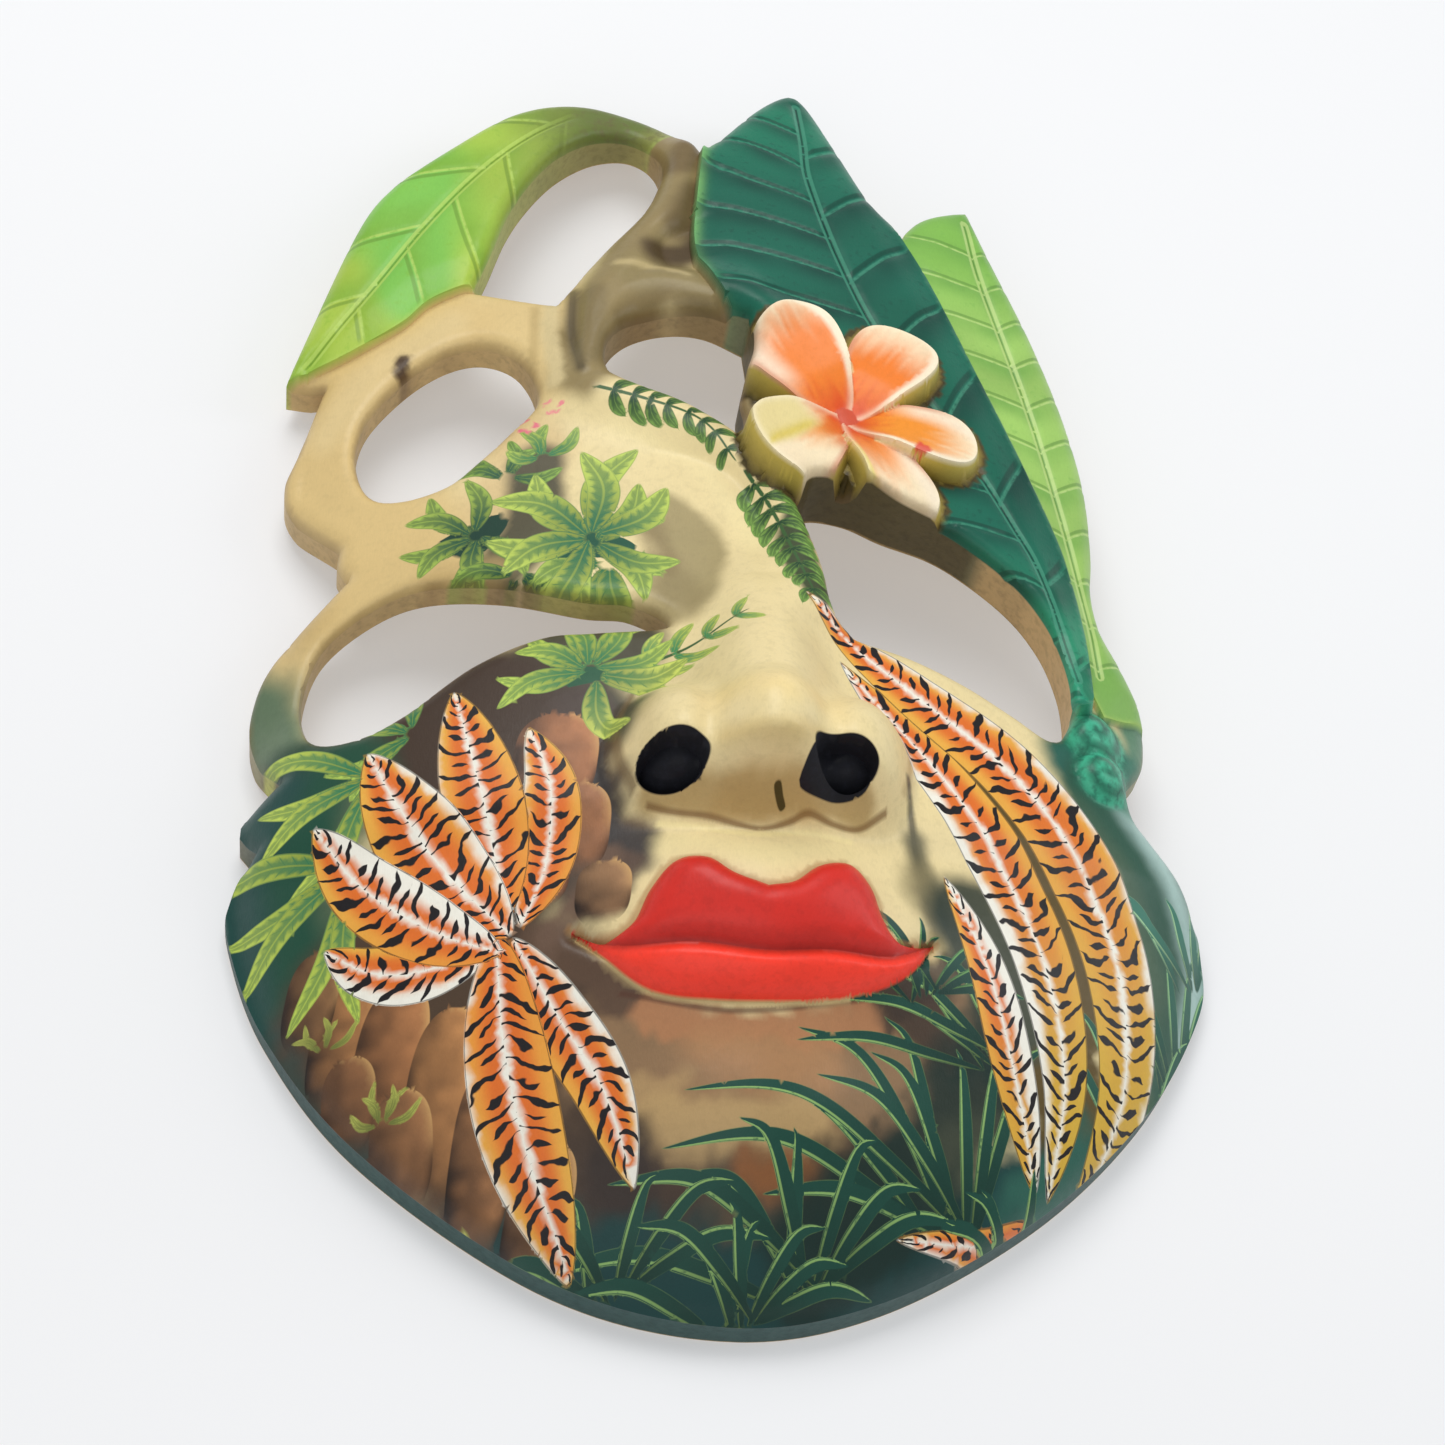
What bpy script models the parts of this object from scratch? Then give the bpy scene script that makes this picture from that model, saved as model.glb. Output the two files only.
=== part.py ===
# Carved wooden wall mask, pierced and painted, lying on its flat back.
# Metres, +X to the wearer's left, +Y towards the forehead, +Z out of the face.
# The mask is one piece of wood: a domed face with a nose and lips, a pierced crown of
# vines with three banana leaves and a frangipani flower, and a hollowed back.
import bmesh
import bpy
import numpy as np
from mathutils import Vector, kdtree
from mathutils.geometry import delaunay_2d_cdt

# Driving sizes, in metres
MASK_WIDTH = 0.268
MASK_LENGTH = 0.407
CHEEK_RISE = 0.058
NOSE_RISE = 0.040
MUZZLE_RISE = 0.017
LIP_RISE = 0.0070
MOUTH_DEPTH = 0.0035
CHIN_RISE = 0.011
CROWN_RISE = 0.046
CROWN_EDGE_RISE = 0.015
LEAF_STEP = 0.0035
LEAF_SWELL = 0.0020
PETAL_STEP = 0.012
WALL = 0.011
FLOWER_WALL = 0.017
RIM_THICKNESS = 0.006
RIM_WIDTH = 0.008
EDGE_ROUND = 0.0045
NOSTRIL_DEPTH = 0.009
VEIN_DEPTH = 0.0012
VEIN_HALF = 0.0015
LEAF_SLOPE = 0.012
PETAL_CURL = 0.0030
PETAL_EYE_DIP = 0.0055
LIP_SLOPE = 0.008
MOUTH_HALF = 0.0022
FACE_TO_CROWN = 0.012
RIM_FILLET = 0.004

# Mesh spacing, in metres
FRONT_SPACING = 0.0062
BACK_SPACING = 0.0100
OUTLINE_SPACING = 0.0058
LINE_SPACING = 0.0040
LIP_SPACING = 0.0040
STEP_WIDTH = 0.0012
PETAL_POINTS = 12

# The drawing: the mask seen square on, in units of about a millimetre.
DRAWN_WIDTH = 268.0
DRAWN_LENGTH = 407.0
UNIT_X = MASK_WIDTH / DRAWN_WIDTH
UNIT_Y = MASK_LENGTH / DRAWN_LENGTH

# The outline as smooth stretches, each starting at the corner where the last one ends.
OUTER = [
    [(-131, 90), (-122, 121), (-112, 150), (-103, 164)],
    [(-103, 164), (-87, 179), (-71, 194), (-57, 201), (-43, 204), (-28, 201), (-17, 193), (-9, 181)],
    [(-9, 181), (-2, 192), (6, 204), (13, 212), (19, 215), (24, 211), (32, 189), (41, 165), (50, 152)],
    [(50, 152), (57, 161), (66, 166), (73, 168)],
    [(73, 168), (80, 145), (91, 115), (99, 89), (104, 65), (105, 43), (104, 28), (106, 15), (111, 5),
     (116, -7), (118, -17), (116, -27), (109, -38)],
    [(109, -38), (111, -47), (116, -52)],
    [(116, -52), (127, -62), (133, -79), (131, -96), (113, -128), (82, -159), (40, -184), (0, -192),
     (-46, -182), (-95, -150), (-122, -117), (-134, -88), (-134, -76), (-128, -65)],
    [(-128, -65), (-133, -59)],
    [(-133, -59), (-132, -54), (-123, -46)],
    [(-123, -46), (-130, -36), (-133, -25), (-131, -12), (-124, 1), (-109, 19)],
    [(-109, 19), (-112, 24), (-112, 30)],
    [(-112, 30), (-126, 44), (-129, 55), (-126, 67), (-120, 89)],
    [(-120, 89), (-131, 90)],
]
ARCH_HOLE = [
    [(-78, 120), (-74, 132), (-69, 150), (-63, 164), (-55, 177), (-46, 186), (-38, 190), (-31, 190),
     (-25, 185), (-22, 176), (-24, 164), (-29, 151), (-38, 138), (-45, 127), (-54, 113)],
    [(-54, 113), (-65, 116), (-78, 120)],
]
LEFT_HOLE = [
    [(-58, 76), (-66, 64), (-75, 54), (-83, 47), (-95, 44), (-104, 47), (-109, 60), (-107, 75),
     (-96, 89), (-84, 97), (-73, 98), (-63, 91), (-58, 76)],
]
RIGHT_HOLE = [
    [(0, 61), (-8, 67), (-18, 73), (-30, 78), (-38, 85), (-39, 95), (-33, 104), (-22, 109), (-10, 109),
     (2, 103)],
    [(2, 103), (3, 90), (0, 77), (1, 69), (0, 61)],
]
LEFT_EYE = [
    [(-21, -9), (-31, -1), (-44, 1), (-66, 8), (-88, 11), (-103, 6), (-115, -5), (-119, -22),
     (-115, -36), (-104, -39), (-91, -34), (-73, -20), (-55, -12), (-40, -11), (-21, -9)],
]
RIGHT_EYE = [
    [(15, 36), (20, 43), (31, 43), (42, 38), (56, 34), (67, 28), (78, 20), (85, 12), (90, 2),
     (93, -12), (92, -24), (86, -30), (75, -25), (61, -18), (45, -12), (30, -9)],
    [(30, -9), (24, -3), (21, 14), (15, 36)],
]
HOLES = {
    "arch_hole": ARCH_HOLE,
    "left_hole": LEFT_HOLE,
    "right_hole": RIGHT_HOLE,
    "left_eye": LEFT_EYE,
    "right_eye": RIGHT_EYE,
}

# The blank: the face is a dome about this line, the crown an arch that falls off towards its top.
FACE_MIDDLE = -62.0
FACE_HALF = 136.0
FACE_REACH = (134.0, 152.0)
CROWN_START = 20.0
CROWN_REACH = 192.0
CROWN_HALF = 124.0
# The hollow of the back starts at the rim's width and is full at this many times it.
RIM_RUN = 3.0
# Up the drawing, the jaw's flat rim ends between these two, and the tips' flat rest begins.
JAW_RIM_END = (-56, -30)
TIP_REST = (192, 202)

# Raised pieces of the carving. Where a leaf runs to an edge of the wood its line runs past it.
LEAF_A = [
    [(-136, 88), (-127, 121), (-116, 152), (-107, 168), (-74, 199), (-46, 210), (-24, 206), (-14, 195)],
    [(-14, 195), (-30, 183), (-44, 178), (-57, 163), (-64, 148), (-69, 132), (-75, 121)],
    [(-75, 121), (-90, 114), (-98, 106), (-111, 98), (-122, 93), (-136, 88)],
]
LEAF_B = [
    [(-11, 178), (-5, 193), (4, 208), (12, 217), (22, 221)],
    [(22, 221), (32, 192), (43, 165), (50, 148), (58, 129), (71, 94), (87, 55), (95, 33), (99, 9),
     (100, -14)],
    [(100, -14), (97, -21), (90, -20)],
    [(90, -20), (86, -6), (80, 6), (62, 21), (44, 32), (26, 50), (2, 97), (-5, 109), (-11, 121),
     (-14, 136), (-13, 156), (-11, 178)],
]
LEAF_C = [
    [(50, 148), (56, 164), (66, 170), (76, 173)],
    [(76, 173), (86, 146), (96, 116), (104, 90), (109, 66), (110, 43), (109, 28), (111, 16), (117, 5),
     (122, -10), (112, -16), (103, -18)],
    [(103, -18), (91, 8), (76, 48), (60, 98), (46, 144)],
    [(46, 144), (50, 148)],
]
MIDRIB_A = [(-126, 93), (-108, 119), (-94, 142), (-80, 163), (-66, 180), (-50, 195)]
MIDRIB_B = [(20, 207), (21, 186), (22, 166), (30, 130), (42, 98), (66, 60), (78, 40), (86, 24), (95, -10)]
MIDRIB_C = [(71, 160), (75, 132), (89, 76), (100, 23), (103, -4)]
LEAVES = [
    (LEAF_C, MIDRIB_C, 0.6),
    (LEAF_B, MIDRIB_B, 1.5),
    (LEAF_A, MIDRIB_A, 1.0),
]
# Between these two places across the drawing the first leaf's step dies out in its stalk.
STALK_FADE = (-62, -24)

LIPS = [
    [(-45, -104), (-37, -108), (-30, -105), (-26, -97), (-20, -90), (-12, -90), (-5, -95), (3, -98)],
    [(3, -98), (10, -96), (17, -90), (25, -88), (31, -93), (34, -100), (39, -105), (49, -102)],
    [(49, -102), (42, -112), (30, -119), (14, -123), (-8, -124), (-27, -120), (-45, -104)],
]
MOUTH_LINE = [(-44, -105), (-32, -111), (-16, -112), (3, -114), (20, -112), (36, -110), (48, -103)]
VINES = [
    ([(-46, 82), (-46, 98), (-41, 112), (-31, 130), (-21, 151), (-17, 166), (-15, 182)], 8.0, 0.0055),
    ([(-44, 92), (-38, 112), (-27, 119), (-14, 118), (-2, 112), (8, 102)], 8.0, 0.0050),
    ([(-42, 76), (-28, 70), (-12, 60), (2, 48), (12, 32), (18, 14), (20, -2)], 9.0, 0.0060),
]
HOLLOWS = [
    ((-17, 137), (9, 7), 0.0060),
    ((-49, 102), (3, 15), 0.0055),
    ((-12, 34), (15, 17), 0.0090),
    ((-58, 30), (26, 14), 0.0030),
    ((43, -76), (5, 18), 0.0030),
    ((-41, -76), (6, 18), 0.0020),
    ((2, -131), (34, 6), 0.0065),
]
KNOBS = [((99, -26), 9.5, 0.0065), ((101, -39), 8.5, 0.0060)]

# The frangipani: each petal's direction in degrees, its length and its half width.
FLOWER_CENTRE = (29.0, 66.0)
PETALS = [(124, 40, 19), (58, 39, 17), (-10, 39, 14), (-57, 41, 12), (222, 31, 19)]

# The nose: its ridge from the tip to the brow, its round tip and the wings of the nostrils.
NOSE_TIP = (3.0, -55.0)
NOSE_TOP = (4.0, 6.0)
NOSE_BASE = (-80, -64)
TIP_RADII = (22, 25)
WINGS = [(-20, -56), (26, -56)]
WING_RADII = (19, 24)
NOSTRILS = [(-22.0, -66.0), (22.0, -65.0)]
NOSTRIL_HALF = (8.5, 5.5)


def spline(points, spacing, closed=False):
    """Points along a Catmull-Rom curve through the given ones, in metres, the last one left out."""
    p = np.array(points, float) * (UNIT_X, UNIT_Y)
    if closed:
        p = np.vstack([p[-1], p, p[0], p[1]])
    else:
        p = np.vstack([2 * p[0] - p[1], p, 2 * p[-1] - p[-2]])
    out = []
    for a, b, c, d in zip(p[:-3], p[1:-2], p[2:-1], p[3:]):
        count = max(1, int(round(np.linalg.norm(c - b) / spacing)))
        t = (np.arange(count) / count)[:, None]
        out.append(0.5 * (2 * b + (c - a) * t + (2 * a - 5 * b + 4 * c - d) * t**2
                          + (3 * b - a - 3 * c + d) * t**3))
    return np.vstack(out)


def loop(stretches, spacing):
    """A closed outline from its smooth stretches, which meet at corners."""
    if len(stretches) == 1:
        return spline(stretches[0][:-1], spacing, closed=True)
    return np.vstack([spline(stretch, spacing) for stretch in stretches])


def line(points, spacing):
    """An open curve with both its ends."""
    return np.vstack([spline(points, spacing), np.array(points[-1], float) * (UNIT_X, UNIT_Y)])


def distance_to(points, chain, closed):
    """Each point's distance to a chain of straight segments."""
    ends = np.roll(chain, -1, 0) if closed else chain[1:]
    starts = chain if closed else chain[:-1]
    best = np.full(len(points), 1e9)
    for a, b in zip(starts, ends):
        ab = b - a
        t = np.clip((points - a) @ ab / max(ab @ ab, 1e-18), 0, 1)
        gap = points - a - t[:, None] * ab
        best = np.minimum(best, np.hypot(gap[:, 0], gap[:, 1]))
    return best


def inside(points, ring):
    """Which points lie inside a closed outline."""
    x, y = points[:, 0], points[:, 1]
    odd = np.zeros(len(points), bool)
    for (x0, y0), (x1, y1) in zip(ring, np.roll(ring, -1, 0)):
        if y0 != y1:
            crosses = (y0 > y) != (y1 > y)
            odd ^= crosses & (x < x0 + (y - y0) * (x1 - x0) / (y1 - y0))
    return odd


def signed_distance(points, ring):
    """Distance to a closed outline, positive inside it."""
    return np.where(inside(points, ring), 1, -1) * distance_to(points, ring, True)


def smooth_step(low, high, value):
    t = np.clip((value - low) / (high - low), 0, 1)
    return t * t * (3 - 2 * t)


def smooth_max(a, b, softness):
    """The higher of two surfaces, with their meeting line filleted."""
    h = np.clip(0.5 + 0.5 * (a - b) / softness, 0, 1)
    return b + (a - b) * h + softness * h * (1 - h)


def bump(u, v, centre, radii):
    """1 at the centre, falling off as a bell over the radii."""
    return np.exp(-((u - centre[0]) / radii[0]) ** 2 - ((v - centre[1]) / radii[1]) ** 2)


def ball(u, v, centre, radii):
    """A flattened ball: 1 at the centre, with a full round edge at the radii."""
    inside_ball = 1 - ((u - centre[0]) / radii[0]) ** 2 - ((v - centre[1]) / radii[1]) ** 2
    return np.clip(inside_ball, 0, None) ** 0.9


def blank(u, v):
    """The half-log blank without its carving: the face's dome below, the pierced crown above."""
    reach = np.where(v < FACE_MIDDLE, FACE_REACH[0], FACE_REACH[1])
    spread = 1 - (u / FACE_HALF) ** 2 - ((v - FACE_MIDDLE) / reach) ** 2
    face = CHEEK_RISE * np.clip(spread, 0, None) ** 0.62
    lengthways = 1 - (np.clip(v - CROWN_START, 0, None) / CROWN_REACH) ** 2
    arch = np.clip(1 - (u / CROWN_HALF) ** 2, 0, None) * lengthways
    crown = CROWN_EDGE_RISE + (CROWN_RISE - CROWN_EDGE_RISE) * arch
    crown = crown * smooth_step(-50, -5, v)
    return smooth_max(smooth_max(face, crown, FACE_TO_CROWN), RIM_THICKNESS, RIM_FILLET)


def muzzle(u, v):
    """The swelling that carries the lips, and the chin below it."""
    return MUZZLE_RISE * bump(u, v, (2, -98), (42, 30)) + CHIN_RISE * bump(u, v, (2, -152), (34, 20))


def nose(u, v):
    """The nose's rise above the cheeks: a ridge that widens to a round tip with two wings."""
    t = np.clip((v - NOSE_TIP[1]) / (NOSE_TOP[1] - NOSE_TIP[1]), 0, 1)
    middle = NOSE_TIP[0] + (NOSE_TOP[0] - NOSE_TIP[0]) * t
    across = np.abs(u - middle) / (21.0 - 7.0 * t)
    ridge = (0.90 - 0.66 * t) * np.exp(-across**2.4) * (1 - smooth_step(0, 34, v))
    shape = smooth_max(ridge, ball(u, v, NOSE_TIP, TIP_RADII), 0.12)
    wings = 0.70 * np.max([ball(u, v, wing, WING_RADII) for wing in WINGS], 0)
    return NOSE_RISE * smooth_step(*NOSE_BASE, v) * smooth_max(shape, wings, 0.26)


def crown_relief(u, v, points):
    """Ridges of the vines, the hollows beside them and the knobs at the leaf stalks' foot."""
    rise = np.zeros(len(u))
    for path, half, height in VINES:
        gap = distance_to(points, line(path, LINE_SPACING), False) / (half * UNIT_X)
        rise = np.maximum(rise, height * np.exp(-gap**2))
    for centre, radii, depth in HOLLOWS:
        rise = rise - depth * bump(u, v, centre, radii)
    for centre, radius, height in KNOBS:
        rise = np.maximum(rise, height * ball(u, v, centre, (radius, radius)))
    return rise


def leaf_relief(u, points):
    """Three leaves laid over the wood, each stepped up at its edge and creased at its midrib."""
    rise = np.zeros(len(points))
    for outline, midrib, level in LEAVES:
        d = signed_distance(points, loop(outline, OUTLINE_SPACING))
        on = smooth_step(-STEP_WIDTH / 2, STEP_WIDTH / 2, d)
        from_midrib = distance_to(points, line(midrib, LINE_SPACING), False)
        crease = VEIN_DEPTH * np.exp(-(from_midrib / VEIN_HALF) ** 2)
        leaf = level * LEAF_STEP + LEAF_SWELL * smooth_step(0, LEAF_SLOPE, d) - crease
        if outline is LEAF_A:
            leaf = leaf * (1 - smooth_step(*STALK_FADE, u))
        rise = rise * (1 - on) + on * leaf
    return rise


def petal_frame(u, v, petal):
    """A petal's own coordinates: the share along it, and the share across it."""
    angle, length, half = petal
    c, s = np.cos(np.radians(angle)), np.sin(np.radians(angle))
    along = ((u - FLOWER_CENTRE[0]) * c + (v - FLOWER_CENTRE[1]) * s) / length
    across = (-(u - FLOWER_CENTRE[0]) * s + (v - FLOWER_CENTRE[1]) * c) / half
    return along, across


def petal_half(along):
    """A petal's half width along it, as a share: narrow at the eye, broad and round at its end."""
    a = np.clip(along, 0, 1)
    return a**0.55 * np.sqrt(1 - a**5)


def petal_outline(petal):
    """A petal's edge as a ring, from its formula."""
    angle, length, half = petal
    a = 0.5 - 0.5 * np.cos(np.linspace(0, np.pi, PETAL_POINTS))
    side = petal_half(a) * half
    ring = np.vstack([np.c_[a * length, side], np.c_[a * length, -side][-2:0:-1]])
    c, s = np.cos(np.radians(angle)), np.sin(np.radians(angle))
    turned = ring @ np.array([[c, s], [-s, c]])
    return (turned + FLOWER_CENTRE) * (UNIT_X, UNIT_Y)


def flower_relief(u, v, points):
    """Five petals like a pinwheel, each with one side raised over its neighbour, on a solid block."""
    rise = np.zeros(len(u))
    for petal in PETALS:
        along, across = petal_frame(u, v, petal)
        d = signed_distance(points, petal_outline(petal))
        on = smooth_step(-STEP_WIDTH, STEP_WIDTH, d + STEP_WIDTH)
        dish = PETAL_CURL * (across**2 - np.clip(across, -1, 1))
        eye = PETAL_EYE_DIP * (1 - smooth_step(0, 0.45, along))
        rise = np.maximum(rise, on * (PETAL_STEP + dish - eye))
    return rise


def front(points, edge_distance):
    """Height of the carved front over points of the plan."""
    u, v = points[:, 0] / UNIT_X, points[:, 1] / UNIT_Y
    z = blank(u, v) + muzzle(u, v) + nose(u, v) + crown_relief(u, v, points)
    leaves, flower = leaf_relief(u, points), flower_relief(u, v, points)
    z = z + np.where(flower > leaves, flower, leaves)
    lips = signed_distance(points, loop(LIPS, LIP_SPACING))
    z = z + LIP_RISE * np.sqrt(1 - (1 - np.clip(lips / LIP_SLOPE, 0, 1)) ** 2)
    from_mouth = distance_to(points, line(MOUTH_LINE, LINE_SPACING), False)
    z = z - MOUTH_DEPTH * np.exp(-(from_mouth / MOUTH_HALF) ** 2)
    for centre in NOSTRILS:
        away = np.hypot((u - centre[0]) / NOSTRIL_HALF[0], (v - centre[1]) / NOSTRIL_HALF[1])
        z = z - NOSTRIL_DEPTH * (1 - smooth_step(0.8, 1.1, away))
    short = np.clip(EDGE_ROUND - edge_distance, 0, EDGE_ROUND)
    z = z - (EDGE_ROUND - np.sqrt(EDGE_ROUND**2 - short**2)) * smooth_step(0.010, 0.016, z)
    return np.maximum(z, RIM_THICKNESS * 0.6)


def back(points, outer_distance):
    """Height of the hollowed back: flat under the jaw's rim and the leaf tips, else scooped."""
    u, v = points[:, 0] / UNIT_X, points[:, 1] / UNIT_Y
    body = blank(u, v) + muzzle(u, v) + 0.45 * nose(u, v)
    behind_flower = bump(u, v, FLOWER_CENTRE, (34, 30))
    wall = WALL + (FLOWER_WALL - WALL) * behind_flower
    scooped = np.clip(body - wall, 0, None)
    beside_jaw = 1 - smooth_step(*JAW_RIM_END, v)
    from_rim = smooth_step(RIM_WIDTH, RIM_WIDTH * RIM_RUN, outer_distance)
    from_tips = 1 - smooth_step(*TIP_REST, v)
    return scooped * from_tips * (1 - beside_jaw * (1 - from_rim))


def rows_beside(chain, closed, offsets):
    """Rows of points along a chain, moved sideways, so that a step or crease has edges to fold on."""
    ahead = np.roll(chain, -1, 0) if closed else np.vstack([chain[1:], 2 * chain[-1] - chain[-2]])
    behind = np.roll(chain, 1, 0) if closed else np.vstack([2 * chain[0] - chain[1], chain[:-1]])
    way = ahead - behind
    side = np.c_[-way[:, 1], way[:, 0]] / np.maximum(np.hypot(way[:, 0], way[:, 1]), 1e-9)[:, None]
    return [chain + side * offset for offset in offsets]


def feature_rows():
    """Rows that follow the carving's steps and creases."""
    half = STEP_WIDTH * 0.55
    rows = []
    for outline, midrib, _ in LEAVES:
        rows += rows_beside(loop(outline, OUTLINE_SPACING), True, (-half, half))
        rows += rows_beside(line(midrib, 0.008), False, (-VEIN_HALF * 1.5, 0, VEIN_HALF * 1.5))
    for petal in PETALS:
        rows += rows_beside(petal_outline(petal), True, (-half * 1.6, half * 1.6))
    rows += rows_beside(loop(LIPS, LIP_SPACING), True, (0, -0.0035, 0.0025))
    rows += rows_beside(line(MOUTH_LINE, LIP_SPACING), False, (-0.0025, 0, 0.0025))
    turn = np.linspace(0, 2 * np.pi, 14, endpoint=False)
    for centre in NOSTRILS:
        for share in (0.75, 1.15):
            ring = np.array(centre) + share * np.array(NOSTRIL_HALF) * np.c_[np.cos(turn), np.sin(turn)]
            rows.append(ring * (UNIT_X, UNIT_Y))
    return rows


def grid_points(spacing, low, high):
    """A triangular grid over a rectangle."""
    rows = []
    for j, y in enumerate(np.arange(low[1], high[1], spacing * 0.87)):
        xs = np.arange(low[0] + spacing * 0.5 * (j % 2), high[0], spacing)
        rows.append(np.c_[xs, np.full(len(xs), y)])
    return np.vstack(rows)


def thinned(points, kept, clearance):
    """The points that keep clear of those already kept."""
    tree = kdtree.KDTree(len(kept))
    for i, p in enumerate(kept):
        tree.insert((p[0], p[1], 0), i)
    tree.balance()
    return np.array([p for p in points if tree.find((p[0], p[1], 0))[2] > clearance])


def triangulate(rings, points):
    """Triangles over the plan, inside the first ring and outside the others."""
    corners, edges = [], []
    for ring in rings:
        start = len(corners)
        corners += [Vector(p) for p in ring]
        edges += [(start + i, start + (i + 1) % len(ring)) for i in range(len(ring))]
    corners += [Vector(p) for p in points]
    found = delaunay_2d_cdt(corners, edges, [], 0, 1e-7)
    plan = np.array([p[:] for p in found[0]])
    faces = np.array(found[2])
    middles = plan[faces].mean(1)
    keep = inside(middles, rings[0])
    for ring in rings[1:]:
        keep &= ~inside(middles, ring)
    return plan, faces[keep]


def front_plan(rings, edge):
    """The plan's triangles for the front, with points beside every edge, step and crease."""
    rounding = [row for ring in rings for row in rows_beside(ring, True, (-EDGE_ROUND, EDGE_ROUND))]
    extra = thinned(np.vstack(feature_rows()), edge, 0.0015)
    extra = np.vstack([extra, thinned(np.vstack(rounding), np.vstack([edge, extra]), 0.0022)])
    grid = grid_points(FRONT_SPACING, edge.min(0), edge.max(0))
    grid = thinned(grid, np.vstack([edge, extra]), FRONT_SPACING * 0.62)
    return triangulate(rings, np.vstack([extra, grid]))


def back_plan(rings, edge):
    """The plan's triangles for the back, with rows of points where the rim meets the hollow."""
    offsets = RIM_WIDTH * np.array([1, (1 + RIM_RUN) / 2, RIM_RUN])
    rows = rows_beside(rings[0], True, (*offsets, *-offsets))
    rim = thinned(np.vstack(rows), edge, 0.004)
    grid = grid_points(BACK_SPACING, edge.min(0), edge.max(0))
    grid = thinned(grid, np.vstack([edge, rim]), BACK_SPACING * 0.6)
    return triangulate(rings, np.vstack([rim, grid]))


def mask_mesh():
    """The closed skin of the mask: carved front, hollowed back and the sawn edge between."""
    outer = loop(OUTER, OUTLINE_SPACING)
    rings = [outer, *(loop(hole, OUTLINE_SPACING) for hole in HOLES.values())]
    edge = np.vstack(rings)
    plan, faces = front_plan(rings, edge)
    top = front(plan, np.min([distance_to(plan, ring, True) for ring in rings], 0))
    under, under_faces = back_plan(rings, edge)
    bottom = back(under, distance_to(under, outer, True))

    mesh = bmesh.new()
    front_verts = {i: mesh.verts.new((*plan[i], top[i])) for i in np.unique(faces)}
    back_verts = {i: mesh.verts.new((*under[i], bottom[i])) for i in np.unique(under_faces)}
    for a, b, c in faces:
        mesh.faces.new((front_verts[a], front_verts[b], front_verts[c]))
    for a, b, c in under_faces:
        mesh.faces.new((back_verts[c], back_verts[b], back_verts[a]))
    start = 0
    for ring in rings:
        for i in range(len(ring)):
            a, b = start + i, start + (i + 1) % len(ring)
            mesh.faces.new((front_verts[b], front_verts[a], back_verts[a], back_verts[b]))
        start += len(ring)
    bmesh.ops.recalc_face_normals(mesh, faces=mesh.faces)
    return mesh


def stand_at_origin(mesh):
    """Moves the mask so that the origin is under its middle, on the plane that it lies on."""
    xyz = np.array([v.co[:] for v in mesh.verts])
    middle = (xyz.min(0) + xyz.max(0)) / 2
    bmesh.ops.translate(mesh, verts=mesh.verts, vec=(-middle[0], -middle[1], -xyz[:, 2].min()))


def painted_wood():
    material = bpy.data.materials.new("painted_wood")
    material.use_nodes = True
    shader = material.node_tree.nodes["Principled BSDF"]
    shader.inputs["Base Color"].default_value = (0.62, 0.47, 0.24, 1)
    shader.inputs["Roughness"].default_value = 0.45
    return material


def build():
    for old in list(bpy.data.objects):
        bpy.data.objects.remove(old)
    mesh = mask_mesh()
    stand_at_origin(mesh)
    data = bpy.data.meshes.new("mask")
    mesh.to_mesh(data)
    mesh.free()
    mask = bpy.data.objects.new("mask", data)
    data.materials.append(painted_wood())
    data.shade_smooth()
    data.set_sharp_from_angle(angle=np.radians(40))
    bpy.context.scene.collection.objects.link(mask)


build()
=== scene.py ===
# The looks of the carved and painted wall mask: a fine skin over the solid, its paint and a plain studio.
import math

import bpy
import numpy as np
from mathutils import Matrix, Vector, kdtree
from mathutils.geometry import delaunay_2d_cdt


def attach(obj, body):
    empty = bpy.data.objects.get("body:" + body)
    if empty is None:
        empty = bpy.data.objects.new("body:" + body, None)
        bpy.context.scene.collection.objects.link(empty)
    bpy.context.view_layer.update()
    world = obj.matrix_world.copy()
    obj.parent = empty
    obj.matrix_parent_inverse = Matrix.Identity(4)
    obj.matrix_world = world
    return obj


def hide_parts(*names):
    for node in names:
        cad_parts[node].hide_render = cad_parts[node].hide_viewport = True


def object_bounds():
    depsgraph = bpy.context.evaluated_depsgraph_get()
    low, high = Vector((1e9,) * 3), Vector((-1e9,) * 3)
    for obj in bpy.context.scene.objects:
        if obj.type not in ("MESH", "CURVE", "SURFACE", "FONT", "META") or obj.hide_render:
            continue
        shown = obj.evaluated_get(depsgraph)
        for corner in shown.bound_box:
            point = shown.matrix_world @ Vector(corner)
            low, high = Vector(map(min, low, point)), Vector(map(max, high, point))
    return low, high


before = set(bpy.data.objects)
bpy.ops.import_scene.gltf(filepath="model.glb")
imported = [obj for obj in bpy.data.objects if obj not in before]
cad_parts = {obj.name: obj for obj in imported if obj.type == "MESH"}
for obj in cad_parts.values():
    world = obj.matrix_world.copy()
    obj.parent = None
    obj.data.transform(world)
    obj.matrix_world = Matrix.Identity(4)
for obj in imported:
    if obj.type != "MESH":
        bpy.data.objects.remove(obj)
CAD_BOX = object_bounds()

# The mask's sizes, in millimetres, as in the solid
CHEEK_RISE = 58.0
NOSE_RISE = 40.0
MUZZLE_RISE = 17.0
LIP_RISE = 7.0
MOUTH_DEPTH = 3.5
CHIN_RISE = 11.0
CROWN_RISE = 46.0
CROWN_EDGE_RISE = 15.0
LEAF_STEP = 3.5
LEAF_SWELL = 2.0
PETAL_STEP = 12.0
WALL = 11.0
FLOWER_WALL = 17.0
RIM_THICKNESS = 6.0
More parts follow.
